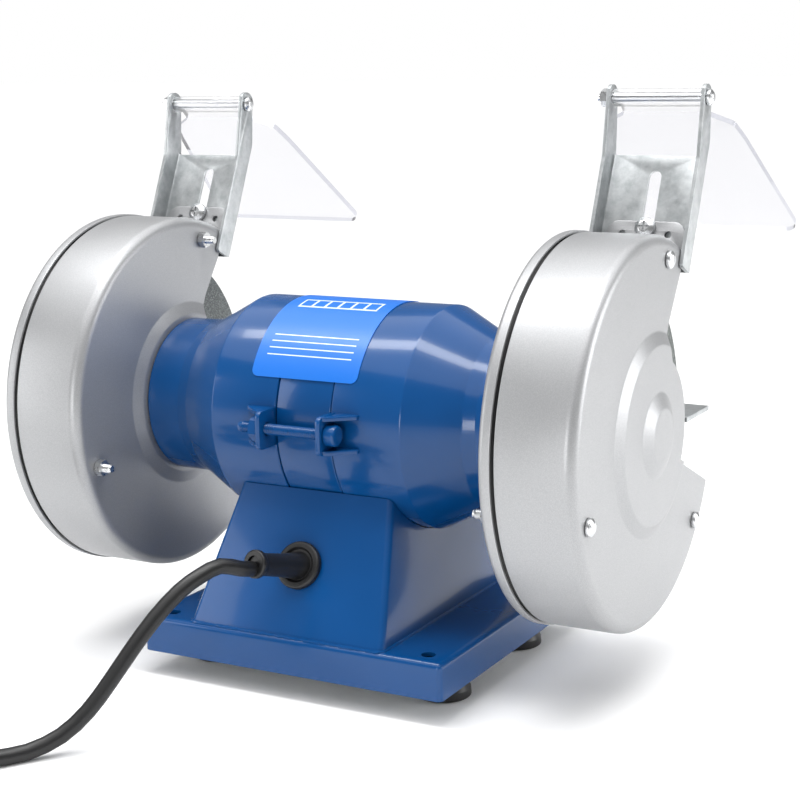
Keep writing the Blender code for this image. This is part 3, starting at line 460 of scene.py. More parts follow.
def makeSticker(v):
    # a plain sticker: one row of empty boxes and a few ruled lines on its own map
    made, tree, shader, spot = nodeMaterial("printedSticker", v["blue"], 0.34)
    sheet = tree.nodes.new("ShaderNodeUVMap")
    sheet.uv_map = "stickerMap"
    boxes = tree.nodes.new("ShaderNodeTexBrick")
    boxes.offset = 0.0
    boxes.inputs["Scale"].default_value = 1.0
    boxes.inputs["Brick Width"].default_value = v["boxWidth"]
    boxes.inputs["Row Height"].default_value = v["boxHeight"]
    boxes.inputs["Mortar Size"].default_value = v["stroke"]
    boxes.inputs["Mortar Smooth"].default_value = 0.1
    tree.links.new(sheet.outputs["UV"], boxes.inputs["Vector"])
    split = tree.nodes.new("ShaderNodeSeparateXYZ")
    tree.links.new(sheet.outputs["UV"], split.inputs["Vector"])
    across, up = split.outputs["X"], split.outputs["Y"]

    def within(value, low, high):
        above = maths(tree, "GREATER_THAN", value, low)
        return maths(tree, "MULTIPLY", above, maths(tree, "LESS_THAN", value, high))

    row = maths(tree, "MULTIPLY", boxes.outputs["Fac"], within(up, *v["boxRow"]))
    mark = maths(tree, "MULTIPLY", row, within(across, *v["boxSpan"]))
    for level in v["lines"]:
        line = maths(tree, "MULTIPLY", within(up, level, level + v["lineWidth"]), within(across, *v["lineSpan"]))
        mark = maths(tree, "MAXIMUM", mark, line)
    tone = tree.nodes.new("ShaderNodeMix")
    tone.data_type = "RGBA"
    tone.inputs[6].default_value = (*v["blue"], 1)
    tone.inputs[7].default_value = (*v["white"], 1)
    tree.links.new(mark, tone.inputs[0])
    tree.links.new(tone.outputs[2], shader.inputs["Base Color"])
    shine(tree, shader, noise(tree, spot, 80, 3), 0.28, 0.4)
    return made


bluePaint = makeBluePaint()
silverPaint = makeSilverPaint()
zinc = makeZinc()
plated = makeEven("brightPlating")
turnedSteel = makeTurnedSteel()
grit = makeGrit()
clearSheet = makeClear("clearSheet", (0.86, 0.86, 0.885))
# a darker copy of the clear sheet for its edge faces: painted shade standing in for the dark look that internal
# reflection gives the edges
shadedClearEdge = makeClear("shadedClearEdge", (0.55, 0.56, 0.64))
clearBarrel = makeClear("clearBarrel", (0.97, 0.97, 0.98), 0.4)
rubber = makeEven("blackRubber")
blackPlastic = makeEven("blackPlastic")
redPlastic = makeEven("redPlastic")
sticker = makeSticker(printValues)
laminate = makeLaminate()
copper = makeCopper()
print("materials ready")


cordValues = {
    "radius": 3.2,
    "route": [(6.52, 80.9, 47.6), (7.82, 87.5, 49.4), (11.9, 95.2, 52.0), (15.9, 103.5, 49.6), (20.1, 111.8, 45.0),
              (25.0, 121.2, 36.6), (29.6, 130.4, 26.2), (34.4, 138.8, 15.0), (39.4, 146.6, 5.0),
              (45.6, 155.4, -2.8), (53.4, 165.8, -6.9), (61.0, 177.0, -6.9), (67.8, 189.6, -6.9),
              (73.0, 202.6, -6.9)],
    "coilCentre": (125.7, 212.0),
    "coilRadius": 36.0,
    "entryGap": 0.7,
    "stepsIn": [(0, 80, 1), (360, 440, 1), (720, 800, 1), (1300, 1380, -1), (1660, 1740, -1), (2000, 2070, 1)],
    "stepsUp": [(1015, 1070), (1945, 2000)],
    "turns": 6.5,
    "turnStep": 8,
    "leaveAngle": 110,
    "tail": 58.0,
}


def eased(t, first, last):
    k = min(1, max(0, (t - first) / (last - first)))
    return k * k * (3 - 2 * k)


def coilPoint(v, t):
    # t is how far round the cord has gone, in degrees; a step moves it by so many of its diameters
    d = 2 * v["radius"]
    r = v["coilRadius"] + 2 * d + v["entryGap"] - v["entryGap"] * eased(t, *v["stepsIn"][0][:2])
    for first, last, steps in v["stepsIn"]:
        r -= steps * d * eased(t, first, last)
    z = ground + v["radius"]
    for first, last in v["stepsUp"]:
        z += d * eased(t, first, last)
    a = math.radians(180 - t)
    x, y = v["coilCentre"]
    return Vector((x + r * math.cos(a), y + r * math.sin(a), z))


def smoothLine(points, pieces):
    ends = [2 * points[0] - points[1]] + points + [2 * points[-1] - points[-2]]
    line = []
    for p0, p1, p2, p3 in zip(ends, ends[1:], ends[2:], ends[3:]):
        for i in range(pieces):
            t = i / pieces
            line.append(0.5 * (2 * p1 + (p2 - p0) * t + (2 * p0 - 5 * p1 + 4 * p2 - p3) * t * t
                               + (3 * p1 - p0 - 3 * p2 + p3) * t ** 3))
    return line + [points[-1]]


def makeCord(v):
    points = [Vector(p) for p in v["route"]]
    last = round(v["turns"] * 360) - v["leaveAngle"]
    points += [coilPoint(v, t) for t in range(0, last, v["turnStep"])] + [coilPoint(v, last)]
    turn = math.radians(v["leaveAngle"] - 90)
    away = Vector((math.cos(turn), math.sin(turn), 0))
    leave = points[-1]
    low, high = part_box("power_plug")
    plugLevel = (low[2] + high[2]) / 2 / mm
    for k in (0.4, 0.75, 1.0):
        level = leave.z + (plugLevel - leave.z) * k
        points.append(Vector((leave.x, leave.y, level)) + away * v["tail"] * k)
    line = smoothLine(points, 2)
    curve = bpy.data.curves.new("powerCord", "CURVE")
    curve.dimensions = "3D"
    curve.bevel_depth = v["radius"] * mm
    curve.bevel_resolution = 6
    curve.use_fill_caps = True
    spline = curve.splines.new("POLY")
    spline.points.add(len(line) - 1)
    for point, place in zip(spline.points, line):
        point.co = (*(place * mm), 1)
    spline.use_smooth = True
    cord = bpy.data.objects.new("powerCord", curve)
    bpy.context.scene.collection.objects.link(cord)
    curve.materials.append(rubber)
    length = sum((b - a).length for a, b in zip(line, line[1:]))
    print("cord is", round(length), "mm long")
    return cord, line, length, away


cord, cordLine, cordLength, plugAway = makeCord(cordValues)
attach(cord, "frame")
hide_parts("power_cord", "cord_coil")

plugValues = {"grip": 18.7, "body": 34.0, "radius": 17.5, "pinRadius": 2.4, "pinLength": 19.0, "pinSpacing": 19.0}


def makePlug(v, point, away):
    where = along(point, away)
    profile = [(0, 0), (3.6, 0, 0.5), (4.4, 5, 0.6), (4.4, 7, 0.4), (4.9, 7.3, 0.4), (5.4, 11, 0.8),
               (12.5, v["grip"], 3), (v["radius"], v["grip"] + 5, 2), (v["radius"], v["body"], 1.6), (0, v["body"])]
    plug = lathe("powerPlug", rounded(profile, 4, False), where, 64)
    pins = []
    side = Vector((-away.y, away.x, 0))
    tip = v["body"] + v["pinLength"]
    pin = [(0, v["body"] - 1), (v["pinRadius"], v["body"] - 1), (v["pinRadius"], tip, 0.8), (0, tip)]
    for k in (-1, 1):
        start = Vector(point) + side * k * v["pinSpacing"] / 2
        pins.append(lathe("pin", rounded(pin, 4, False), along(start, away), 24))
    pins = gather(pins[0], pins[1:])
    pins.name = "plugPins"
    done(plug, blackPlastic, "frame", ["power_plug"])
    done(pins, plated, "frame", ["power_plug"])
    return plug, pins


plugPieces = makePlug(plugValues, cordLine[-1], plugAway)
print("cord and plug made")


motorValues = {
    "offset": 2.0, "radius": 47.3, "bodyHalf": 45.0, "bandHalf": 12.9, "seam": 0.4, "wall": 2.1,
    "coneEnd": 66.5, "coneEndRadius": 35.8, "neckStart": 72.0, "neckRadius": 34.2, "plate": 3.0, "plateHole": 12.0,
    "neckEnd": {"left": 94.55, "right": 88.15},
    "lugReach": 12.0, "lugHalf": 8.0, "lugSheet": 2.0, "lugLength": 13.0, "lugEdge": 0.35,
    "boltReach": 6.0, "boltRadius": 2.4, "boltTail": 11.0, "coreHalf": 22.0, "coreBore": 23.2,
}
for word, side in (("left", -1), ("right", 1)):
    low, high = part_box("end_bell_" + word)
    end = high[0] if side > 0 else low[0]
    motorValues["neckEnd"][word] = side * (end / mm - motorValues["offset"])


def makeBell(v, word, side):
    end = v["neckEnd"][word]
    start = v["bandHalf"] + v["seam"]
    wall = v["wall"]
    cup = end - v["plate"]
    body, cone, neck, hole = v["radius"], v["coneEndRadius"], v["neckRadius"], v["plateHole"]
    profile = [(body - wall, start), (body, start, 0.5), (body, v["bodyHalf"], 2.2), (cone, v["coneEnd"], 7),
               (neck, v["neckStart"], 4), (neck, end, 1.0), (hole, end, 0.5), (hole, cup), (neck - wall, cup, 1),
               (neck - wall, v["neckStart"], 4), (cone - wall, v["coneEnd"], 7),
               (body - wall, v["bodyHalf"] - wall, 2)]
    bell = lathe("endBell" + word.title(), closedLoop(rounded(profile, 6)), alongX(v["offset"]), 160, side)
    lugs = []
    top, half, sheet = body + v["lugReach"], v["lugHalf"], v["lugSheet"]
    low = body - wall * 0.6
    for face in (-1, 1):
        outline = [(face * low, -half), (face * top, -half, 2.6), (face * top, half, 2.6), (face * low, half)]
        boltHole = ring(face * (body + v["boltReach"]), 0, v["boltRadius"] + 0.35, 24)
        x = v["offset"] + side * (start + sheet / 2)
        lugs.append(plate("lug", rounded(outline, 5), sheet, sideOn(x), [boltHole], v["lugEdge"]))
        for level in (-1, 1):
            near, far = side * (start + 0.3), side * (start + v["lugLength"])
            wallLine = [(near, face * low), (near, face * (top - 1.6), 1.2), (near + side * 3, face * (top - 3), 2),
                        (far, face * (body + 0.6), 1.0), (far, face * low)]
            where = shift(v["offset"], 0, shaftHeight + level * (half - sheet / 2))
            lugs.append(plate("lugWall", rounded(wallLine, 4), sheet * 0.9, where, (), v["lugEdge"]))
    gather(bell, lugs)
    return done(bell, bluePaint, "frame", ["end_bell_" + word])


def threaded(radius, low, high, pitch=0.8, depth=0.28):
    # a profile stretch with a fine saw edge
    points = []
    steps = max(1, int(abs(high - low) / pitch))
    for i in range(steps):
        a = low + (high - low) * i / steps
        b = low + (high - low) * (i + 0.5) / steps
        points += [(radius, a), (radius - depth, b)]
    return points


def hexNut(name, corner, bore, thick, x, y=0.0, z=None, turn=0.0):
    # six flats with turned-off corners
    nut = plate(name, arc(0, 0, corner, turn, turn + 300, 5), thick, alongX(x, y, z), [ring(0, 0, bore, 32)])
    half = thick / 2
    flat, wide, drop = corner * 0.9, corner * 1.01, corner * 0.07
    cone = [(0, -half), (flat, -half), (wide, drop - half), (wide, half - drop), (flat, half), (0, half)]
    combine(nut, [lathe("chamfer", rounded(cone, 2, False), alongX(x, y, z), 64)], "INTERSECT")
    return nut


def makeTieBolt(v, word, face):
    y = face * (v["radius"] + v["boltReach"])
    seat = v["bandHalf"] + v["seam"] + v["lugSheet"] + 0.3
    r = v["boltRadius"]
    profile = [(0, -seat - 5.0), (4.4, -seat - 5.0, 1.2), (4.4, -seat, 0.3), (r, -seat), (r, 1.5 - seat)]
    profile = rounded(profile, 4, False) + threaded(r, 2 - seat, seat + v["boltTail"] - 1, 0.9) + [
        (r - 0.5, seat + v["boltTail"]), (0, seat + v["boltTail"])]
    bolt = lathe("tieBolt" + word.title(), profile, alongX(v["offset"], y), 40)
    done(bolt, bluePaint, "frame", ["tie_bolt_" + word])
    nut = hexNut("tieNut" + word.title(), 5.6, r + 0.3, 4.0, v["offset"] + seat + 2.0, y, None, 15)
    done(nut, bluePaint, "frame", ["tie_nut_" + word])


def makeStator(v):
    r = v["radius"] - 0.3
    spigot = r - v["wall"]
    band = v["bandHalf"]
    half, bore = v["coreHalf"], v["coreBore"]
    profile = [(spigot, -half), (spigot, -band), (r, -band, 0.5), (r, band, 0.5), (spigot, band), (spigot, half),
               (bore, half), (bore, -half)]
    core = lathe("statorBand", closedLoop(rounded(profile, 3)), alongX(v["offset"]), 160)
    done(core, bluePaint, "frame", ["stator_core"])


stickerValues = {"low": -23.5, "high": 27.0, "first": 24.5, "last": 104.0, "corner": 3.0, "thick": 0.28, "cuts": 48}


def rollSticker(v, m):
    # a flat sheet with round corners, rolled onto the body
    inner = m["radius"] + 0.06
    width = v["high"] - v["low"]
    length = math.radians(v["last"] - v["first"]) * inner
    outline = rounded([(0, 0, v["corner"]), (width, 0, v["corner"]), (width, length, 0), (0, length, 0)], 6)
    sheet = plate("ratingSticker", outline, v["thick"], shift(0, 0, v["thick"] / 2))
    pick(sheet)
    bpy.ops.object.mode_set(mode="EDIT")
    for i in range(1, v["cuts"]):
        bpy.ops.mesh.select_all(action="SELECT")
        bpy.ops.mesh.bisect(plane_co=(0, length * i / v["cuts"] * mm, 0), plane_no=(0, 1, 0))
    bpy.ops.object.mode_set(mode="OBJECT")
    layer = sheet.data.uv_layers.new(name="stickerMap")
    for loop in sheet.data.loops:
        spot = sheet.data.vertices[loop.vertex_index].co
        layer.data[loop.index].uv = (1 - spot.x / mm / width, spot.y / mm / length)
    for corner in sheet.data.vertices:
        x, y, z = corner.co / mm
        turn = math.radians(v["first"]) + y / inner
        r = inner + z
        corner.co = Vector((m["offset"] + v["low"] + x, r * math.cos(turn), shaftHeight + r * math.sin(turn))) * mm
    return done(sheet, sticker, "frame", ["rating_label"])


for word, side in (("left", -1), ("right", 1)):
    makeBell(motorValues, word, side)
makeTieBolt(motorValues, "rear", 1)
makeTieBolt(motorValues, "front", -1)
makeStator(motorValues)
rollSticker(stickerValues, motorValues)
print("motor made")


guardValues = {
    "middle": 112.25, "width": 38.8, "sheet": 1.2, "panRadius": 79.4, "edge": 4.6,
    "lidRadius": 80.0, "rimStep": 2.5, "lip": 5.2, "lidEdge": 2.4, "lidGap": 1.5,
    "bossFoot": 41.3, "bossTop": 36.2, "bossRise": 2.4, "domeFoot": 17.5, "domeTop": 11.0, "domeRise": 2.6,
    "hub": 14.0, "core": 31.5, "screwCircle": 70.0, "screwFirst": 102.5, "screwHole": 2.2,
    "tabHalf": 17.0, "tabHigh": 9.6, "tabLow": -3.2, "tabOut": 1.8, "tabFoot": 12.6,
    "restScrew": (-46.0, -33.0), "restHole": 2.7,
}
bracketValues = {
    "lean": math.radians(24), "planeY": -41.5, "planeZ": 70.6, "sheet": 1.5, "half": 21.3, "depth": 11.0,
    "low": -11.5, "high": 38.9, "hingeUp": 60.3, "hingeOut": 12.4,
    "armRadius": 5.5, "slotWidth": 5.4, "slotLow": -2.0,
    "slotHigh": 32.3, "clampUp": 6.5, "clampRadius": 2.4, "hingeHole": 2.35, "drop": {"left": 0.0, "right": 2.6},
}
leanUp = Vector((0, -math.sin(bracketValues["lean"]), math.cos(bracketValues["lean"])))
leanOut = Vector((0, math.cos(bracketValues["lean"]), math.sin(bracketValues["lean"])))


def leanPoint(x, up, out):
    b = bracketValues
    return Vector((x, b["planeY"], shaftHeight + b["planeZ"])) + leanUp * up + leanOut * out


def leanFrame(x, up, out):
    return axes(leanPoint(x, up, out), (-1, 0, 0), leanUp)


def screwSpots(v):
    for i, word in enumerate(("top", "rear", "front")):
        turn = math.radians(v["screwFirst"] - 120 * i)
        yield word, v["screwCircle"] * math.cos(turn), v["screwCircle"] * math.sin(turn)


def mouthCutter(v, middle):
    outline = [(-48.8, 89.1), (-17.2, 43.0, 3), (-13.2, 34.5, 3)] + arc(0, 0, v["core"], 120, 209, 24)
    outline += [(-56.7, -28.2, 8), (-83.0, -39.9, 2.5), (-90.0, -60), (-120, 20), (-95, 89.1)]
    return plate("mouth", rounded(outline, 5), v["width"] * 1.7, sideOn(middle))


def screwCutters(v, middle):
    reach = v["width"]
    return [drill(v["screwHole"], -reach, reach, alongX(middle, y, shaftHeight + z), 24)
            for word, y, z in screwSpots(v)]


def makePan(v, word, middle, isClosed):
    s = v["sheet"]
    rim, edge = v["panRadius"], v["edge"]
    stepStart = v["width"] - v["lip"] - v["lidGap"]
    stepRadius = rim - v["rimStep"]
    stepEnd = v["width"] - s - 0.3
    rise, dome = v["bossRise"], v["domeRise"]
    if isClosed:
        outside = [(0, -rise - dome), (v["domeTop"], -rise - dome, 4), (v["domeFoot"], -rise, 3.5)]
        inside = [(v["domeFoot"] - 0.4, s - rise, 5), (v["domeTop"] - 0.4, s - rise - dome, 6),
                  (0, s - rise - dome)]
    else:
        outside = [(v["hub"], -rise, 0.4)]
        inside = [(v["hub"], s - rise)]
    outside += [(v["bossTop"], -rise, 3), (v["bossFoot"], 0, 3), (rim, 0, edge), (rim, stepStart, 0.5),
                (stepRadius, stepStart + 0.7, 0.4), (stepRadius, stepEnd, 0.3)]
    inside = [(stepRadius - s, stepEnd, 0.3), (stepRadius - s, stepStart - 0.2, 1.0),
              (rim - s, stepStart - 1.4, 1.0),
              (rim - s, s, edge - s), (v["bossFoot"] - 0.4, s, 6), (v["bossTop"] - 0.4, s - rise, 5)] + inside
    line = rounded(outside + inside, 7, not isClosed)
    pan = lathe(word + "GuardPan", line if isClosed else closedLoop(line), alongX(middle - v["width"] / 2), 192)
    combine(pan, [mouthCutter(v, middle)] + screwCutters(v, middle), "DIFFERENCE")
    half, low, high = v["tabHalf"], v["tabLow"], v["tabHigh"]
    outline = rounded([(-half, low), (half, low), (half, high, 5), (-half, high, 5)], 6)
    holes = [ring(0, bracketValues["clampUp"], bracketValues["clampRadius"] + 0.3, 28),
             ring(-10, 4, 1.5, 20), ring(10, 4, 1.5, 20)]
    tab = plate("tab", outline, s, leanFrame(middle, 0, v["tabOut"] + s / 2), holes, 0.2)
    lidSide = v["width"] / 2 - v["lip"] - v["lidGap"] - 0.3
    foot = block("tabFoot", (-lidSide, low, v["tabOut"] + 0.4), (half - 2, low + s, v["tabOut"] + v["tabFoot"]),
                 leanFrame(middle, 0, 0))
    gather(pan, [tab, foot])
    done(pan, silverPaint, "frame", [word + "_guard_pan"], 28)
    # painted shade: a black rubber ring fills the gap between the lid's lip and the pan's step, standing in for the
    # shadow there
    shadeRingLine = [(stepRadius + 0.05, stepStart + 1.0), (stepRadius + 0.05, stepEnd - 1), (stepRadius + 1.3, stepEnd - 1),
            (stepRadius + 1.3, v["width"] - v["lip"] + 0.6), (stepRadius + 0.5, stepStart + 1.0, 0.3)]
    shadeRing = lathe(word + "GuardGapShade", closedLoop(rounded(shadeRingLine, 3)), alongX(middle - v["width"] / 2), 192)
    combine(shadeRing, [mouthCutter(v, middle)], "DIFFERENCE")
    return done(shadeRing, rubber, "frame", (), 28)


def makeLid(v, word, middle, isClosed):
    s, rim, edge = v["sheet"], v["lidRadius"], v["lidEdge"]
    if isClosed:
        outside = [(0, 2.0), (29, 2.0, 4), (34, 0, 4)]
        inside = [(33.5, -s, 4), (28.5, 2.0 - s, 4), (0, 2.0 - s)]
    else:
        outside = [(v["hub"], 0, 0.4)]
        inside = [(v["hub"], -s)]
    outside += [(rim, 0, edge), (rim, -v["lip"], 0.3)]
    inside = [(rim - s, -v["lip"], 0.3), (rim - s, -s, edge - s)] + inside
    line = rounded(outside + inside, 7, not isClosed)
    lid = lathe(word + "GuardLid", line if isClosed else closedLoop(line), alongX(middle + v["width"] / 2), 192)
    y, z = v["restScrew"]
    hole = drill(v["restHole"], -6, 6, alongX(middle + v["width"] / 2, y, shaftHeight + z))
    combine(lid, [mouthCutter(v, middle)] + screwCutters(v, middle) + [hole], "DIFFERENCE")
    return done(lid, silverPaint, "frame", [word + "_guard_lid"], 28)


def crossCut(head, where, top, reach=2.0, width=0.62, depth=1.2):
    # a cross recess in a screw's head; the head's top is at +Z of the frame
    cutters = [block("cross", (-reach, -width / 2, top - depth), (reach, width / 2, top + 1), where),
               block("cross", (-width / 2, -reach, top - depth), (width / 2, reach, top + 1), where)]
    return combine(head, cutters, "DIFFERENCE")


def makeGuardScrew(v, word, middle, side, spot, y, z):
    seat = v["width"] / 2 + 0.3
    r, head, thick, nut, nutThick, tail = 1.9, 3.6, 2.4, 3.7, 3.0, 4.2
    back = -seat - nutThick
    outline = [(0, seat + thick), (head * 0.5, seat + thick, 1.5), (head, seat + thick * 0.55, 0.8),
               (head, seat, 0.2), (r, seat), (r, back)]
    line = rounded(outline, 5, False) + threaded(r, back - 0.2, back - tail + 0.5, 0.7, 0.24)
    line += [(r - 0.4, back - tail), (0, back - tail)]
    where = alongX(middle, y, shaftHeight + z)
    screw = lathe(word + "GuardScrew" + spot.title(), line, where, 36, side)
    facing = axes((middle, y, shaftHeight + z), (0, 0, 1), (0, side, 0)) if side < 0 else where
    crossCut(screw, facing, seat + thick)
    x = middle - side * (seat + nutThick / 2)
    gather(screw, [hexNut("nut", nut, r - 0.3, nutThick, x, y, shaftHeight + z, 20)])
    return done(screw, plated, "frame", [word + "_guard_screw_" + spot])


for word, side in (("left", -1), ("right", 1)):
    middle = side * guardValues["middle"]
    makePan(guardValues, word, middle, side < 0)
    makeLid(guardValues, word, middle, side > 0)
    for spot, y, z in screwSpots(guardValues):
        makeGuardScrew(guardValues, word, middle, side, spot, y, z)
print("guards made")


wheelValues = {"start": 104.4, "width": 16.0, "radius": 62.5, "bore": 6.35, "flange": 20.0, "flangeThick": 3.0,
               "shaft": 6.0, "nut": 10.8, "nutThick": 5.2}


def makeWheelSet(v, word, side):
    start, out = v["start"], v["start"] + v["width"]
    disc = [(v["bore"], start, 0.4), (v["radius"], start, 1.0), (v["radius"], out, 1.0), (v["bore"], out, 0.4)]
    wheel = lathe(word + "GrindingWheel", closedLoop(rounded(disc, 4)), alongX(0), 192, side)
    done(wheel, grit, "rotor", [word + "_grinding_wheel"])
    low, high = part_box(word + "_inner_flange")
    hub = min(abs(low[0]), abs(high[0])) / mm
    near = start - 0.3
    thick, bore = v["flangeThick"], v["shaft"] + 0.3
    inner = [(v["flange"], near - thick, 0.8), (v["flange"], near, 0.3), (15, near), (14.4, near - 0.5, 0.3),
             (bore, near - 0.5), (bore, hub), (9.0, hub, 0.6), (9.0, near - thick, 1.2)]
    flange = lathe(word + "InnerFlange", closedLoop(rounded(inner, 4)), alongX(0), 96, side)
    done(flange, turnedSteel, "rotor", [word + "_inner_flange"])
    far = out + 0.3
    outer = [(v["flange"], far, 0.3), (v["flange"], far + 0.9, 0.4), (18.2, far + thick, 1.0),
             (bore, far + thick, 0.3), (bore, far)]
    cap = lathe(word + "OuterFlange", closedLoop(rounded(outer, 4)), alongX(0), 96, side)
    done(cap, turnedSteel, "rotor", [word + "_outer_flange"])
    x = side * (far + thick + 0.3 + v["nutThick"] / 2)
    nut = hexNut(word + "WheelNut", v["nut"], v["shaft"] + 0.25, v["nutThick"], x)
    done(nut, plated, "rotor", [word + "_wheel_nut"])


def makeShaft(v):
    low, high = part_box("rotor_shaft")
    left, right = low[0] / mm, high[0] / mm
    r = v["shaft"]
    nutIn = v["start"] + v["width"] + 0.3 + v["flangeThick"]
    line = [(0, left), (r - 0.9, left)] + threaded(r, left + 0.9, -nutIn, 1.25, 0.4)
    line += [(r, -nutIn + 0.6), (r, -28), (8, -28), (8, 32), (r, 32), (r, nutIn - 0.6)]
    line += threaded(r, nutIn, right - 0.9, 1.25, 0.4) + [(r - 0.9, right), (0, right)]
    shaft = lathe("rotorShaft", line, alongX(0), 48)
    done(shaft, turnedSteel, "rotor", ["rotor_shaft"])


for word, side in (("left", -1), ("right", 1)):
    makeWheelSet(wheelValues, word, side)
makeShaft(wheelValues)
print("wheels made")


shieldValues = {"sheet": 2.5, "length": 93.0, "neck": 17.5, "low": 41.5, "tilt": math.radians(50), "barrel": 3.7,
                "bore": 2.3, "corner": 6.0}


def makeBracket(b, word, middle):
    drop = b["drop"][word]
    low, high, t, half = b["low"] - drop, b["high"] - drop, b["sheet"], b["half"]
    deep = b["depth"] + 12
    section = [(-half, deep), (-half, 0, 2.0), (half, 0, 2.0), (half, deep), (half - t, deep), (half - t, t, 0.8),
               (t - half, t, 0.8), (t - half, deep)]
    length = b["hingeUp"] + b["armRadius"] - low + 8
    origin = leanPoint(middle, low - 2 + length / 2, 0)
    channel = plate(word + "ShieldBracket", rounded(section, 6), length, axes(origin, (1, 0, 0), leanOut))
    tip = arc(b["hingeOut"], b["hingeUp"] - drop, b["armRadius"], 20, 190, 20)
    outline = [(-0.5, low + 2.0, 1), (1.5, low, 1), (b["depth"], low, 2), (b["depth"], high - 4, 6)] + tip
    outline += [(0.0, high + 2, 4), (-0.5, high - 3, 1)]
    shape = plate("sideShape", rounded(outline, 6), 2 * half + 8, axes(leanPoint(middle, 0, 0), leanOut, leanUp))
    combine(channel, [shape], "INTERSECT")
    outline = [(t - half, high, 1.6), (half - t, high, 1.6), (half - t, high + 60), (t - half, high + 60)]
    window = plate("window", rounded(outline, 4), 12, leanFrame(middle, 0, 0))
    slotLow, slotHigh, r = b["slotLow"] - drop, b["slotHigh"] - drop, b["slotWidth"] / 2
    slot = plate("slot", arc(0, slotHigh - r, r, 0, 180, 14) + arc(0, slotLow + r, r, 180, 360, 14), 12,
                 leanFrame(middle, 0, 0))
    point = leanPoint(middle, b["hingeUp"] - drop, b["hingeOut"])
    combine(channel, [window, slot, drill(b["hingeHole"], -half - 5, half + 5, alongX(*point))], "DIFFERENCE")
    soften(channel, 0.18, 2, 40)
    return done(channel, zinc, word + "_bracket", [word + "_shield_bracket"], 30)


def makeShield(v, b, word, middle):
    point = leanPoint(middle, b["hingeUp"] - b["drop"][word], b["hingeOut"])
    down = Vector((0, -math.sin(v["tilt"]), -math.cos(v["tilt"])))
    neck, low, length = v["neck"], v["low"], v["length"]
    right = [(neck, 2.4), (neck, 9.6, 3), (28.5, 17, 4), (31, 27, 3), (low, length, v["corner"])]
    outline = right + [(-p[0],) + tuple(p[1:]) for p in reversed(right)]
    sheet = plate(word + "EyeShield", rounded(outline, 7), v["sheet"], axes(point, (1, 0, 0), down))
    barrelHalf = b["half"] - b["sheet"] - 0.4
    barrel = lathe("barrel", closedLoop(rounded([(v["barrel"], -barrelHalf, 0.4), (v["barrel"], barrelHalf, 0.4),
                   (v["bore"], barrelHalf), (v["bore"], -barrelHalf)], 3)), alongX(*point), 40)
    combine(sheet, [barrel])
    done(sheet, clearSheet, word + "_shield", [word + "_eye_shield"], 30)
    sheet.data.materials.append(shadedClearEdge)
    sheet.data.materials.append(clearBarrel)
    across = Vector((1, 0, 0)).cross(down)
    # the edge faces take the darker copy, which is painted shade; the flat faces and the barrel keep their own
    # clear material
    for face in sheet.data.polygons:
        sheetFace = abs(face.normal.dot(across)) > 0.8
        reach = face.center / mm - point
        onBarrel = reach.length < b["half"] + 1 and reach.dot(down) < 6
        face.material_index = 2 if onBarrel else 0 if sheetFace else 1
    return sheet


def makeHingeScrew(b, word, middle):
    point = leanPoint(middle, b["hingeUp"] - b["drop"][word], b["hingeOut"])
    seat, r, head, thick, nutThick = b["half"] + 0.3, 2.0, 3.3, 2.4, 3.0
    tip = seat + nutThick + 1.6
    line = rounded([(0, -seat - thick), (head * 0.5, -seat - thick, 1.2), (head, -seat - thick * 0.5, 0.8),
                    (head, -seat, 0.2), (r, -seat), (r, seat - 1)], 5, False)
    line += threaded(r, seat, tip - 0.3, 0.7, 0.24) + [(r - 0.3, tip), (0, tip)]
    screw = lathe(word + "HingeScrew", line, alongX(*point), 36)
    facing = axes(point, (0, 0, 1), (0, -1, 0))
    crossCut(screw, facing, seat + thick, 1.9, 0.6, 1.1)
    done(screw, plated, word + "_bracket", [word + "_hinge_screw"])
    x = middle + seat + nutThick / 2
    nut = hexNut(word + "HingeNut", 3.9, r + 0.25, nutThick, x, point.y, point.z, 10)
    done(nut, plated, word + "_bracket", [word + "_hinge_nut"])


def makeClampScrew(b, word, middle):
    r, head, thick, nut, nutThick = b["clampRadius"], 4.4, 2.8, 4.6, 3.6
    seat = b["sheet"] + 0.3 + 1.2 + 0.3
    where = along(leanPoint(middle, b["clampUp"], 0), leanOut)
    back = -0.3 - nutThick
    line = rounded([(0, seat + thick), (head * 0.55, seat + thick, 1.5), (head, seat + thick * 0.5, 0.9),
                    (head, seat, 0.2), (r, seat), (r, -0.3), (nut * 0.95, -0.3, 0.3), (nut * 0.95, back, 0.5),
                    (r, back)], 5, False)
    line += threaded(r, back - 0.2, back - 1.5, 0.6, 0.2) + [(0, back - 1.7)]
    screw = lathe(word + "ClampScrew", line, where, 36)
    crossCut(screw, where, seat + thick, 2.4, 0.75, 1.3)
    return done(screw, plated, "frame", [word + "_clamp_screw"])


for word, side in (("left", -1), ("right", 1)):
    middle = side * guardValues["middle"]
    makeBracket(bracketValues, word, middle)
    makeShield(shieldValues, bracketValues, word, middle)
    makeHingeScrew(bracketValues, word, middle)
    makeClampScrew(bracketValues, word, middle)
print("shields made")


restValues = {"top": -6.0, "sheet": 2.0, "inner": -65.5, "outer": -95.0, "half": 11.0, "screw": (-46.0, -33.0),
              "slideOut": 10.0, "slideIn": 1.5, "legHeight": 11.0, "screwRadius": 2.4}


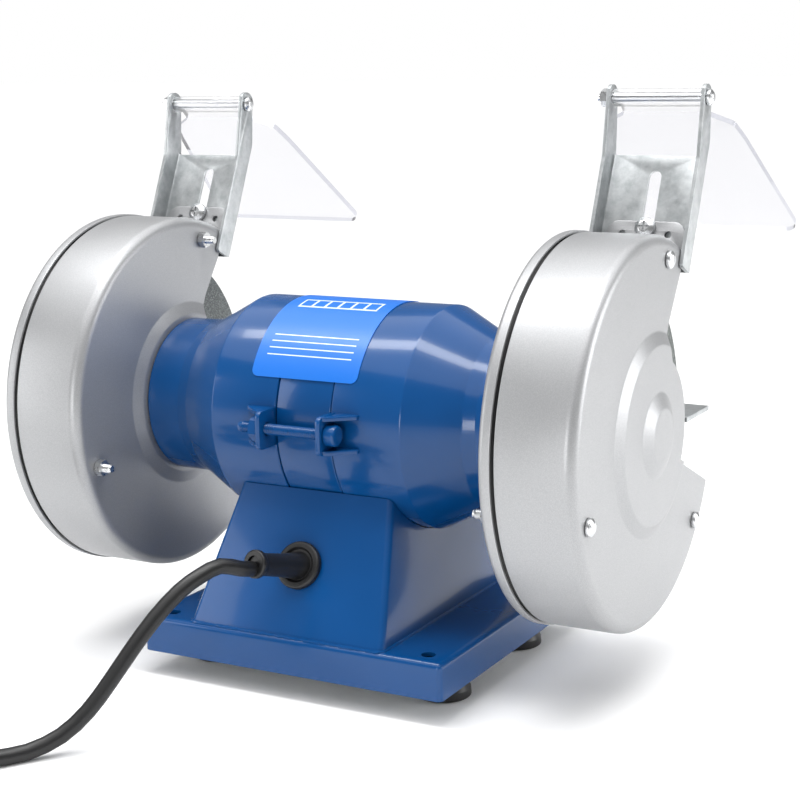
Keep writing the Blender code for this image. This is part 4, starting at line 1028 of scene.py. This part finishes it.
def makeRest(v, word, middle):
    leg = middle + guardValues["width"] / 2 + 0.3 + v["sheet"] / 2
    t = v["sheet"]
    top = v["top"]
    near, far = leg - t / 2 - middle, leg + t / 2 - middle
    section = [(-v["half"], top), (far, top, 2.6), (far, -60), (near, -60), (near, top - t, 0.8),
               (-v["half"], top - t)]
    depth = 80
    rest = plate(word + "ToolRest", rounded(section, 6), depth,
                 axes((middle, v["outer"] + depth / 2, shaftHeight), (1, 0, 0), (0, 0, 1)))
    sy, sz = v["screw"]
    half = v["legHeight"] / 2
    back = sy + v["slideOut"] + 6
    outline = [(v["outer"], top + 1), (v["inner"], top + 1), (v["inner"], top - 2), (v["inner"] + 4, sz + half, 4),
               (back, sz + half, 3), (back, sz - half, 3), (v["inner"] - 3, sz - half, 6),
               (v["outer"], top - 12, 3)]
    shape = plate("sideShape", rounded(outline, 6), 90, sideOn(middle))
    combine(rest, [shape], "INTERSECT")
    r = v["screwRadius"] + 0.35
    line = arc(sy + v["slideOut"], sz, r, -90, 90, 14) + arc(sy - v["slideIn"], sz, r, 90, 270, 14)
    slot = plate("slot", line, 12, sideOn(leg))
    combine(rest, [slot], "DIFFERENCE")
    soften(rest, 0.3, 2, 40)
    done(rest, zinc, word + "_rest", [word + "_tool_rest"], 30)
    seat = guardValues["width"] / 2 + 0.3 + t + 0.3
    tip = guardValues["width"] / 2 - guardValues["sheet"] - 2.5
    knob = rounded([(0, tip), (v["screwRadius"], tip), (v["screwRadius"], seat), (6.0, seat, 0.4),
                    (6.0, seat + 5.5, 1.0), (3.0, seat + 5.5, 0.4), (2.6, seat + 3.0), (0, seat + 3.0)], 5, False)
    screw = lathe(word + "RestScrew", knob, alongX(middle, sy, shaftHeight + sz), 64)
    done(screw, plated, "frame", [word + "_rest_screw"])


for word, side in (("left", -1), ("right", 1)):
    makeRest(restValues, word, side * guardValues["middle"])
print("tool rests made")


baseValues = {
    "length": 142.6, "depth": 136.6, "tray": 15.5, "sheet": 1.6, "footLength": 92.4, "footDepth": 133.0,
    "topLength": 72.6, "topDepth": 77.0, "bolt": (61.5, 59.7), "boltHole": 2.9, "bend": 2.6,
    "gland": (1.0, 42.0), "glandHole": 7.1, "switch": (31.0, 24.0, 46.0),
    "bead": 0.8, "beadStep": 1.6, "trayEdge": 2.4,
}
bodyRadius = motorValues["radius"]
pedestalTop = shaftHeight - math.sqrt(bodyRadius ** 2 - (baseValues["topDepth"] / 2) ** 2)
slope = Vector((baseValues["footDepth"] / 2 - baseValues["topDepth"] / 2, pedestalTop - baseValues["tray"]))
slopeY, slopeZ = slope.y / slope.length, slope.x / slope.length


def pedestalHalf(v, z):
    k = (z - v["tray"]) / (pedestalTop - v["tray"])
    return ((v["footLength"] + (v["topLength"] - v["footLength"]) * k) / 2,
            (v["footDepth"] + (v["topDepth"] - v["footDepth"]) * k) / 2)


def frustum(v, low, high, inset, bend):
    deselect()
    bpy.ops.mesh.primitive_cube_add(size=2, location=(0, 0, 0))
    obj = bpy.context.object
    for corner in obj.data.vertices:
        z = high if corner.co.z > 0 else low
        halfX, halfY = pedestalHalf(v, z)
        corner.co = Vector((motorValues["offset"] + (halfX - inset) * math.copysign(1, corner.co.x),
                            (halfY - inset) * math.copysign(1, corner.co.y), z)) * mm
    if bend:
        bevelEdges(obj, bend, 7, lambda a, b: abs(a.z - b.z) > 1 * mm)
    return obj


def weldBead(v):
    # a lumpy bead round the pedestal's foot
    halfX, halfY = v["footLength"] / 2 + 0.1, v["footDepth"] / 2 + 0.1
    line = rounded([(-halfX, -halfY, 3), (halfX, -halfY, 3), (halfX, halfY, 3), (-halfX, halfY, 3)], 4)
    spots = []
    for a, b in zip(line, line[1:] + line[:1]):
        a, b = Vector(a), Vector(b)
        count = max(1, round((b - a).length / v["beadStep"]))
        spots += [a.lerp(b, i / count) for i in range(count)]
    sheet = bpy.data.curves.new("bead", "CURVE")
    sheet.dimensions = "3D"
    sheet.bevel_depth = v["bead"] * mm
    sheet.bevel_resolution = 2
    spline = sheet.splines.new("POLY")
    spline.points.add(len(spots) - 1)
    spline.use_cyclic_u = True
    for i, (point, spot) in enumerate(zip(spline.points, spots)):
        point.co = ((spot.x + motorValues["offset"]) * mm, spot.y * mm, v["tray"] * mm, 1)
        point.radius = 1 + 0.16 * math.sin(i * 2.4) + 0.1 * math.sin(i * 0.7)
    bead = bpy.data.objects.new("bead", sheet)
    bpy.context.scene.collection.objects.link(bead)
    pick(bead)
    bpy.ops.object.convert(target="MESH")
    return bpy.context.object


def makeBase(v):
    halfX, halfY, s = v["length"] / 2, v["depth"] / 2, v["sheet"]
    base = block("pedestalBase", (-halfX, -halfY, 0), (halfX, halfY, v["tray"]))
    bevelEdges(base, v["trayEdge"], 6, lambda a, b: (a.z + b.z) / 2 > 1 * mm)
    combine(base, [frustum(v, v["tray"] - s / 2, pedestalTop, 0, v["bend"])])
    saddle = drill(bodyRadius + 0.35, -90, 90, alongX(motorValues["offset"]), 160)
    cutters = [block("trayInner", (s - halfX, s - halfY, -5), (halfX - s, halfY - s, v["tray"] - s)),
               frustum(v, v["tray"] - 3, pedestalTop + 8, s / slopeY, 0), saddle]
    for x in (-1, 1):
        for y in (-1, 1):
            cutters.append(drill(v["boltHole"], 8, 22, shift(x * v["bolt"][0], y * v["bolt"][1], 0), 40))
    gx, gz = v["gland"]
    spot = (gx, pedestalHalf(v, gz)[1], gz)
    cutters.append(drill(v["glandHole"], -6, 6, along(spot, (0, slopeY, slopeZ)), 48))
    length, depth = v["switch"][:2]
    face = switchFrame(v)
    a, b = length / 2 - 2.6, depth / 2 - 2.6
    cutters.append(block("switchHole", (-a, -b, -6), (a, b, 6), face))
    combine(base, cutters, "DIFFERENCE")
    gather(base, [weldBead(v)])
    return done(base, bluePaint, "frame", ["pedestal_base"], 30)


def switchFrame(v):
    level = v["switch"][2]
    return axes((motorValues["offset"], -pedestalHalf(v, level)[1], level), (1, 0, 0), (0, slopeZ, slopeY))


def makeSwitch(v):
    length, depth, level = v["switch"]
    face = switchFrame(v)
    a, b = length / 2, depth / 2
    outline = rounded([(-a, -b, 2), (a, -b, 2), (a, b, 2), (-a, b, 2)], 6)
    bezel = plate("switchHousing", outline, 2.0, face @ shift(0, 0, 1.3), (), 0.6, 3)
    body = block("body", (-a + 3, -b + 3, -14.9), (a - 3, b - 3, 1.0), face)
    combine(bezel, [body])
    outline = rounded([(-10.3, -6.7, 0.8), (10.3, -6.7, 0.8), (10.3, 6.7, 0.8), (-10.3, 6.7, 0.8)], 4)
    combine(bezel, [plate("pocket", outline, 12, face @ shift(0, 0, -1.0))], "DIFFERENCE")
    done(bezel, blackPlastic, "frame", ["switch_housing"])
    spot = (motorValues["offset"], -pedestalHalf(v, level)[1], level)
    outline = rounded([(-6.2, 0.4, 0.4), (-4.2, -3.4, 0.6), (4.2, -3.4, 0.6), (6.2, 0.4, 0.4), (6.2, 4.4, 1.0),
                       (0, 3.0, 9), (-6.2, 4.4, 1.0)], 7)
    tipped = axes(spot, (0, slopeZ, slopeY), (0, -slopeY, slopeZ)) @ Matrix.Rotation(math.radians(-9), 4, "Z")
    rocker = plate("switchRocker", outline, 20.0, tipped, (), 0.4, 2)
    return done(rocker, redPlastic, "rocker", ["switch_rocker"])


footValues = {"radius": 11.6, "spots": {"front": -1, "rear": 1}, "insetX": 15.8, "insetY": 33.0, "stem": 3.0}


def makeFeet(v):
    seat = 0.3
    r, stem = v["radius"], v["stem"]
    outline = [(0, ground), (r, ground, 1.0), (r - 0.3, ground + 3.6, 0.9), (9.0, -1.2, 1.0), (8.2, seat, 0.5),
               (stem, seat), (stem, 2.4), (stem + 1.2, 2.8, 0.3), (stem - 0.6, 6.4, 0.5), (0, 6.4)]
    for depthWord, sy in v["spots"].items():
        for word, sx in (("left", -1), ("right", 1)):
            x = sx * (baseValues["length"] / 2 - v["insetX"])
            y = sy * (baseValues["depth"] / 2 - v["insetY"])
            name = "foot" + depthWord.title() + word.title()
            foot = lathe(name, rounded(outline, 5, False), shift(x, y, 0), 72)
            done(foot, rubber, "frame", ["foot_" + depthWord + "_" + word])


glandValues = {"ring": 10.0, "thick": 3.0, "neck": 6.8, "boot": 28.5, "bootRadius": 4.9, "lip": 5.8,
               "direction": (0.186, 0.947, 0.263)}


def makeGland(v):
    gx, gz = baseValues["gland"]
    spot = (gx, pedestalHalf(baseValues, gz)[1], gz)
    neck, rim, top = v["neck"], v["ring"], 0.3 + v["thick"]
    outline = [(0, -4.2), (7.8, -4.2, 0.8), (8.8, -1.9, 0.3), (neck, -1.9), (neck, 0.3), (rim, 0.3, 0.5),
               (rim, top, 1.5), (7.4, top, 0.4), (6.6, 2.4, 0.5), (0, 2.4)]
    gland = lathe("cableGland", rounded(outline, 5, False), along(spot, (0, slopeY, slopeZ)), 80)
    r, end = v["bootRadius"], v["boot"]
    boot = [(0, 1), (r + 1.2, 1), (r + 0.5, 5, 2), (r - 0.1, 12, 6), (r - 0.3, end - 4, 1.5),
            (v["lip"], end - 2.4, 0.8), (v["lip"], end, 0.8), (3.3, end, 0.2), (3.3, end - 1), (0, end - 1)]
    gather(gland, [lathe("boot", rounded(boot, 5, False), along(spot, v["direction"]), 64)])
    return done(gland, rubber, "frame", ["cable_gland"], 35)


makeBase(baseValues)
makeSwitch(baseValues)
makeFeet(footValues)
makeGland(glandValues)
print("base made")

for node, material in (("bottom_plate", zinc), ("run_capacitor", blackPlastic), ("rotor_core", laminate),
                       ("winding_left", copper), ("winding_right", copper), ("bearing_left", turnedSteel),
                       ("bearing_right", turnedSteel)):
    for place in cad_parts[node].material_slots:
        place.material = material


studioValues = {"floor": (0.97, 0.97, 0.97), "seen": 1.0, "ambient": 0.24, "sky": 2.6, "skySpread": 96}
boxValues = {
    "stripBox": {"spot": (0.0, 0.1, 0.9), "aim": (0, 0, 0.1), "size": (1.1, 0.16), "power": 6},
    "leftBox": {"spot": (1.1, 0.9, 0.35), "aim": (0, 0, 0.1), "size": (0.5, 0.8), "power": 4},
    "rightBox": {"spot": (-1.1, -0.5, 0.35), "aim": (-0.1, 0, 0.1), "size": (0.5, 0.5), "power": 6},
    "frontBox": {"spot": (-0.1, 1.4, 0.2), "aim": (0, 0, 0.1), "size": (0.3, 0.3), "power": 3},
}


def makeStudio(v):
    bpy.context.scene.view_settings.view_transform = "Standard"
    deselect()
    bpy.ops.mesh.primitive_plane_add(size=40, location=(0, 0, (ground - 0.3) * mm))
    floor = bpy.context.object
    floor.name = "floor"
    made, tree, shader, spot = nodeMaterial("paleFloor", v["floor"], 0.85)
    shader.inputs["Specular IOR Level"].default_value = 0.0
    floor.data.materials.append(made)
    # the white surround is seen as it is, and lights the metal more softly
    world = bpy.data.worlds.new("studio")
    world.use_nodes = True
    tree = world.node_tree
    seen = tree.nodes["Background"]
    seen.inputs["Color"].default_value = (1, 1, 1, 1)
    seen.inputs["Strength"].default_value = v["seen"]
    soft = tree.nodes.new("ShaderNodeBackground")
    soft.inputs["Color"].default_value = (1, 1, 1, 1)
    soft.inputs["Strength"].default_value = v["ambient"]
    ray = tree.nodes.new("ShaderNodeLightPath")
    bounced = maths(tree, "MAXIMUM", ray.outputs["Is Diffuse Ray"], ray.outputs["Is Glossy Ray"])
    either = tree.nodes.new("ShaderNodeMixShader")
    tree.links.new(bounced, either.inputs[0])
    tree.links.new(seen.outputs[0], either.inputs[1])
    tree.links.new(soft.outputs[0], either.inputs[2])
    tree.links.new(either.outputs[0], tree.nodes["World Output"].inputs["Surface"])
    bpy.context.scene.world = world
    light = bpy.data.lights.new("sky", "SUN")
    light.energy = v["sky"]
    light.angle = math.radians(v["skySpread"])
    bpy.context.scene.collection.objects.link(bpy.data.objects.new("sky", light))


def addSoftbox(name, v):
    light = bpy.data.lights.new(name, "AREA")
    light.shape = "RECTANGLE"
    light.size, light.size_y = v["size"]
    light.energy = v["power"]
    obj = bpy.data.objects.new(name, light)
    bpy.context.scene.collection.objects.link(obj)
    obj.location = v["spot"]
    obj.rotation_euler = (Vector(v["aim"]) - Vector(v["spot"])).to_track_quat("-Z", "Y").to_euler()


makeStudio(studioValues)
for name, values in boxValues.items():
    addSoftbox(name, values)
print("studio made")
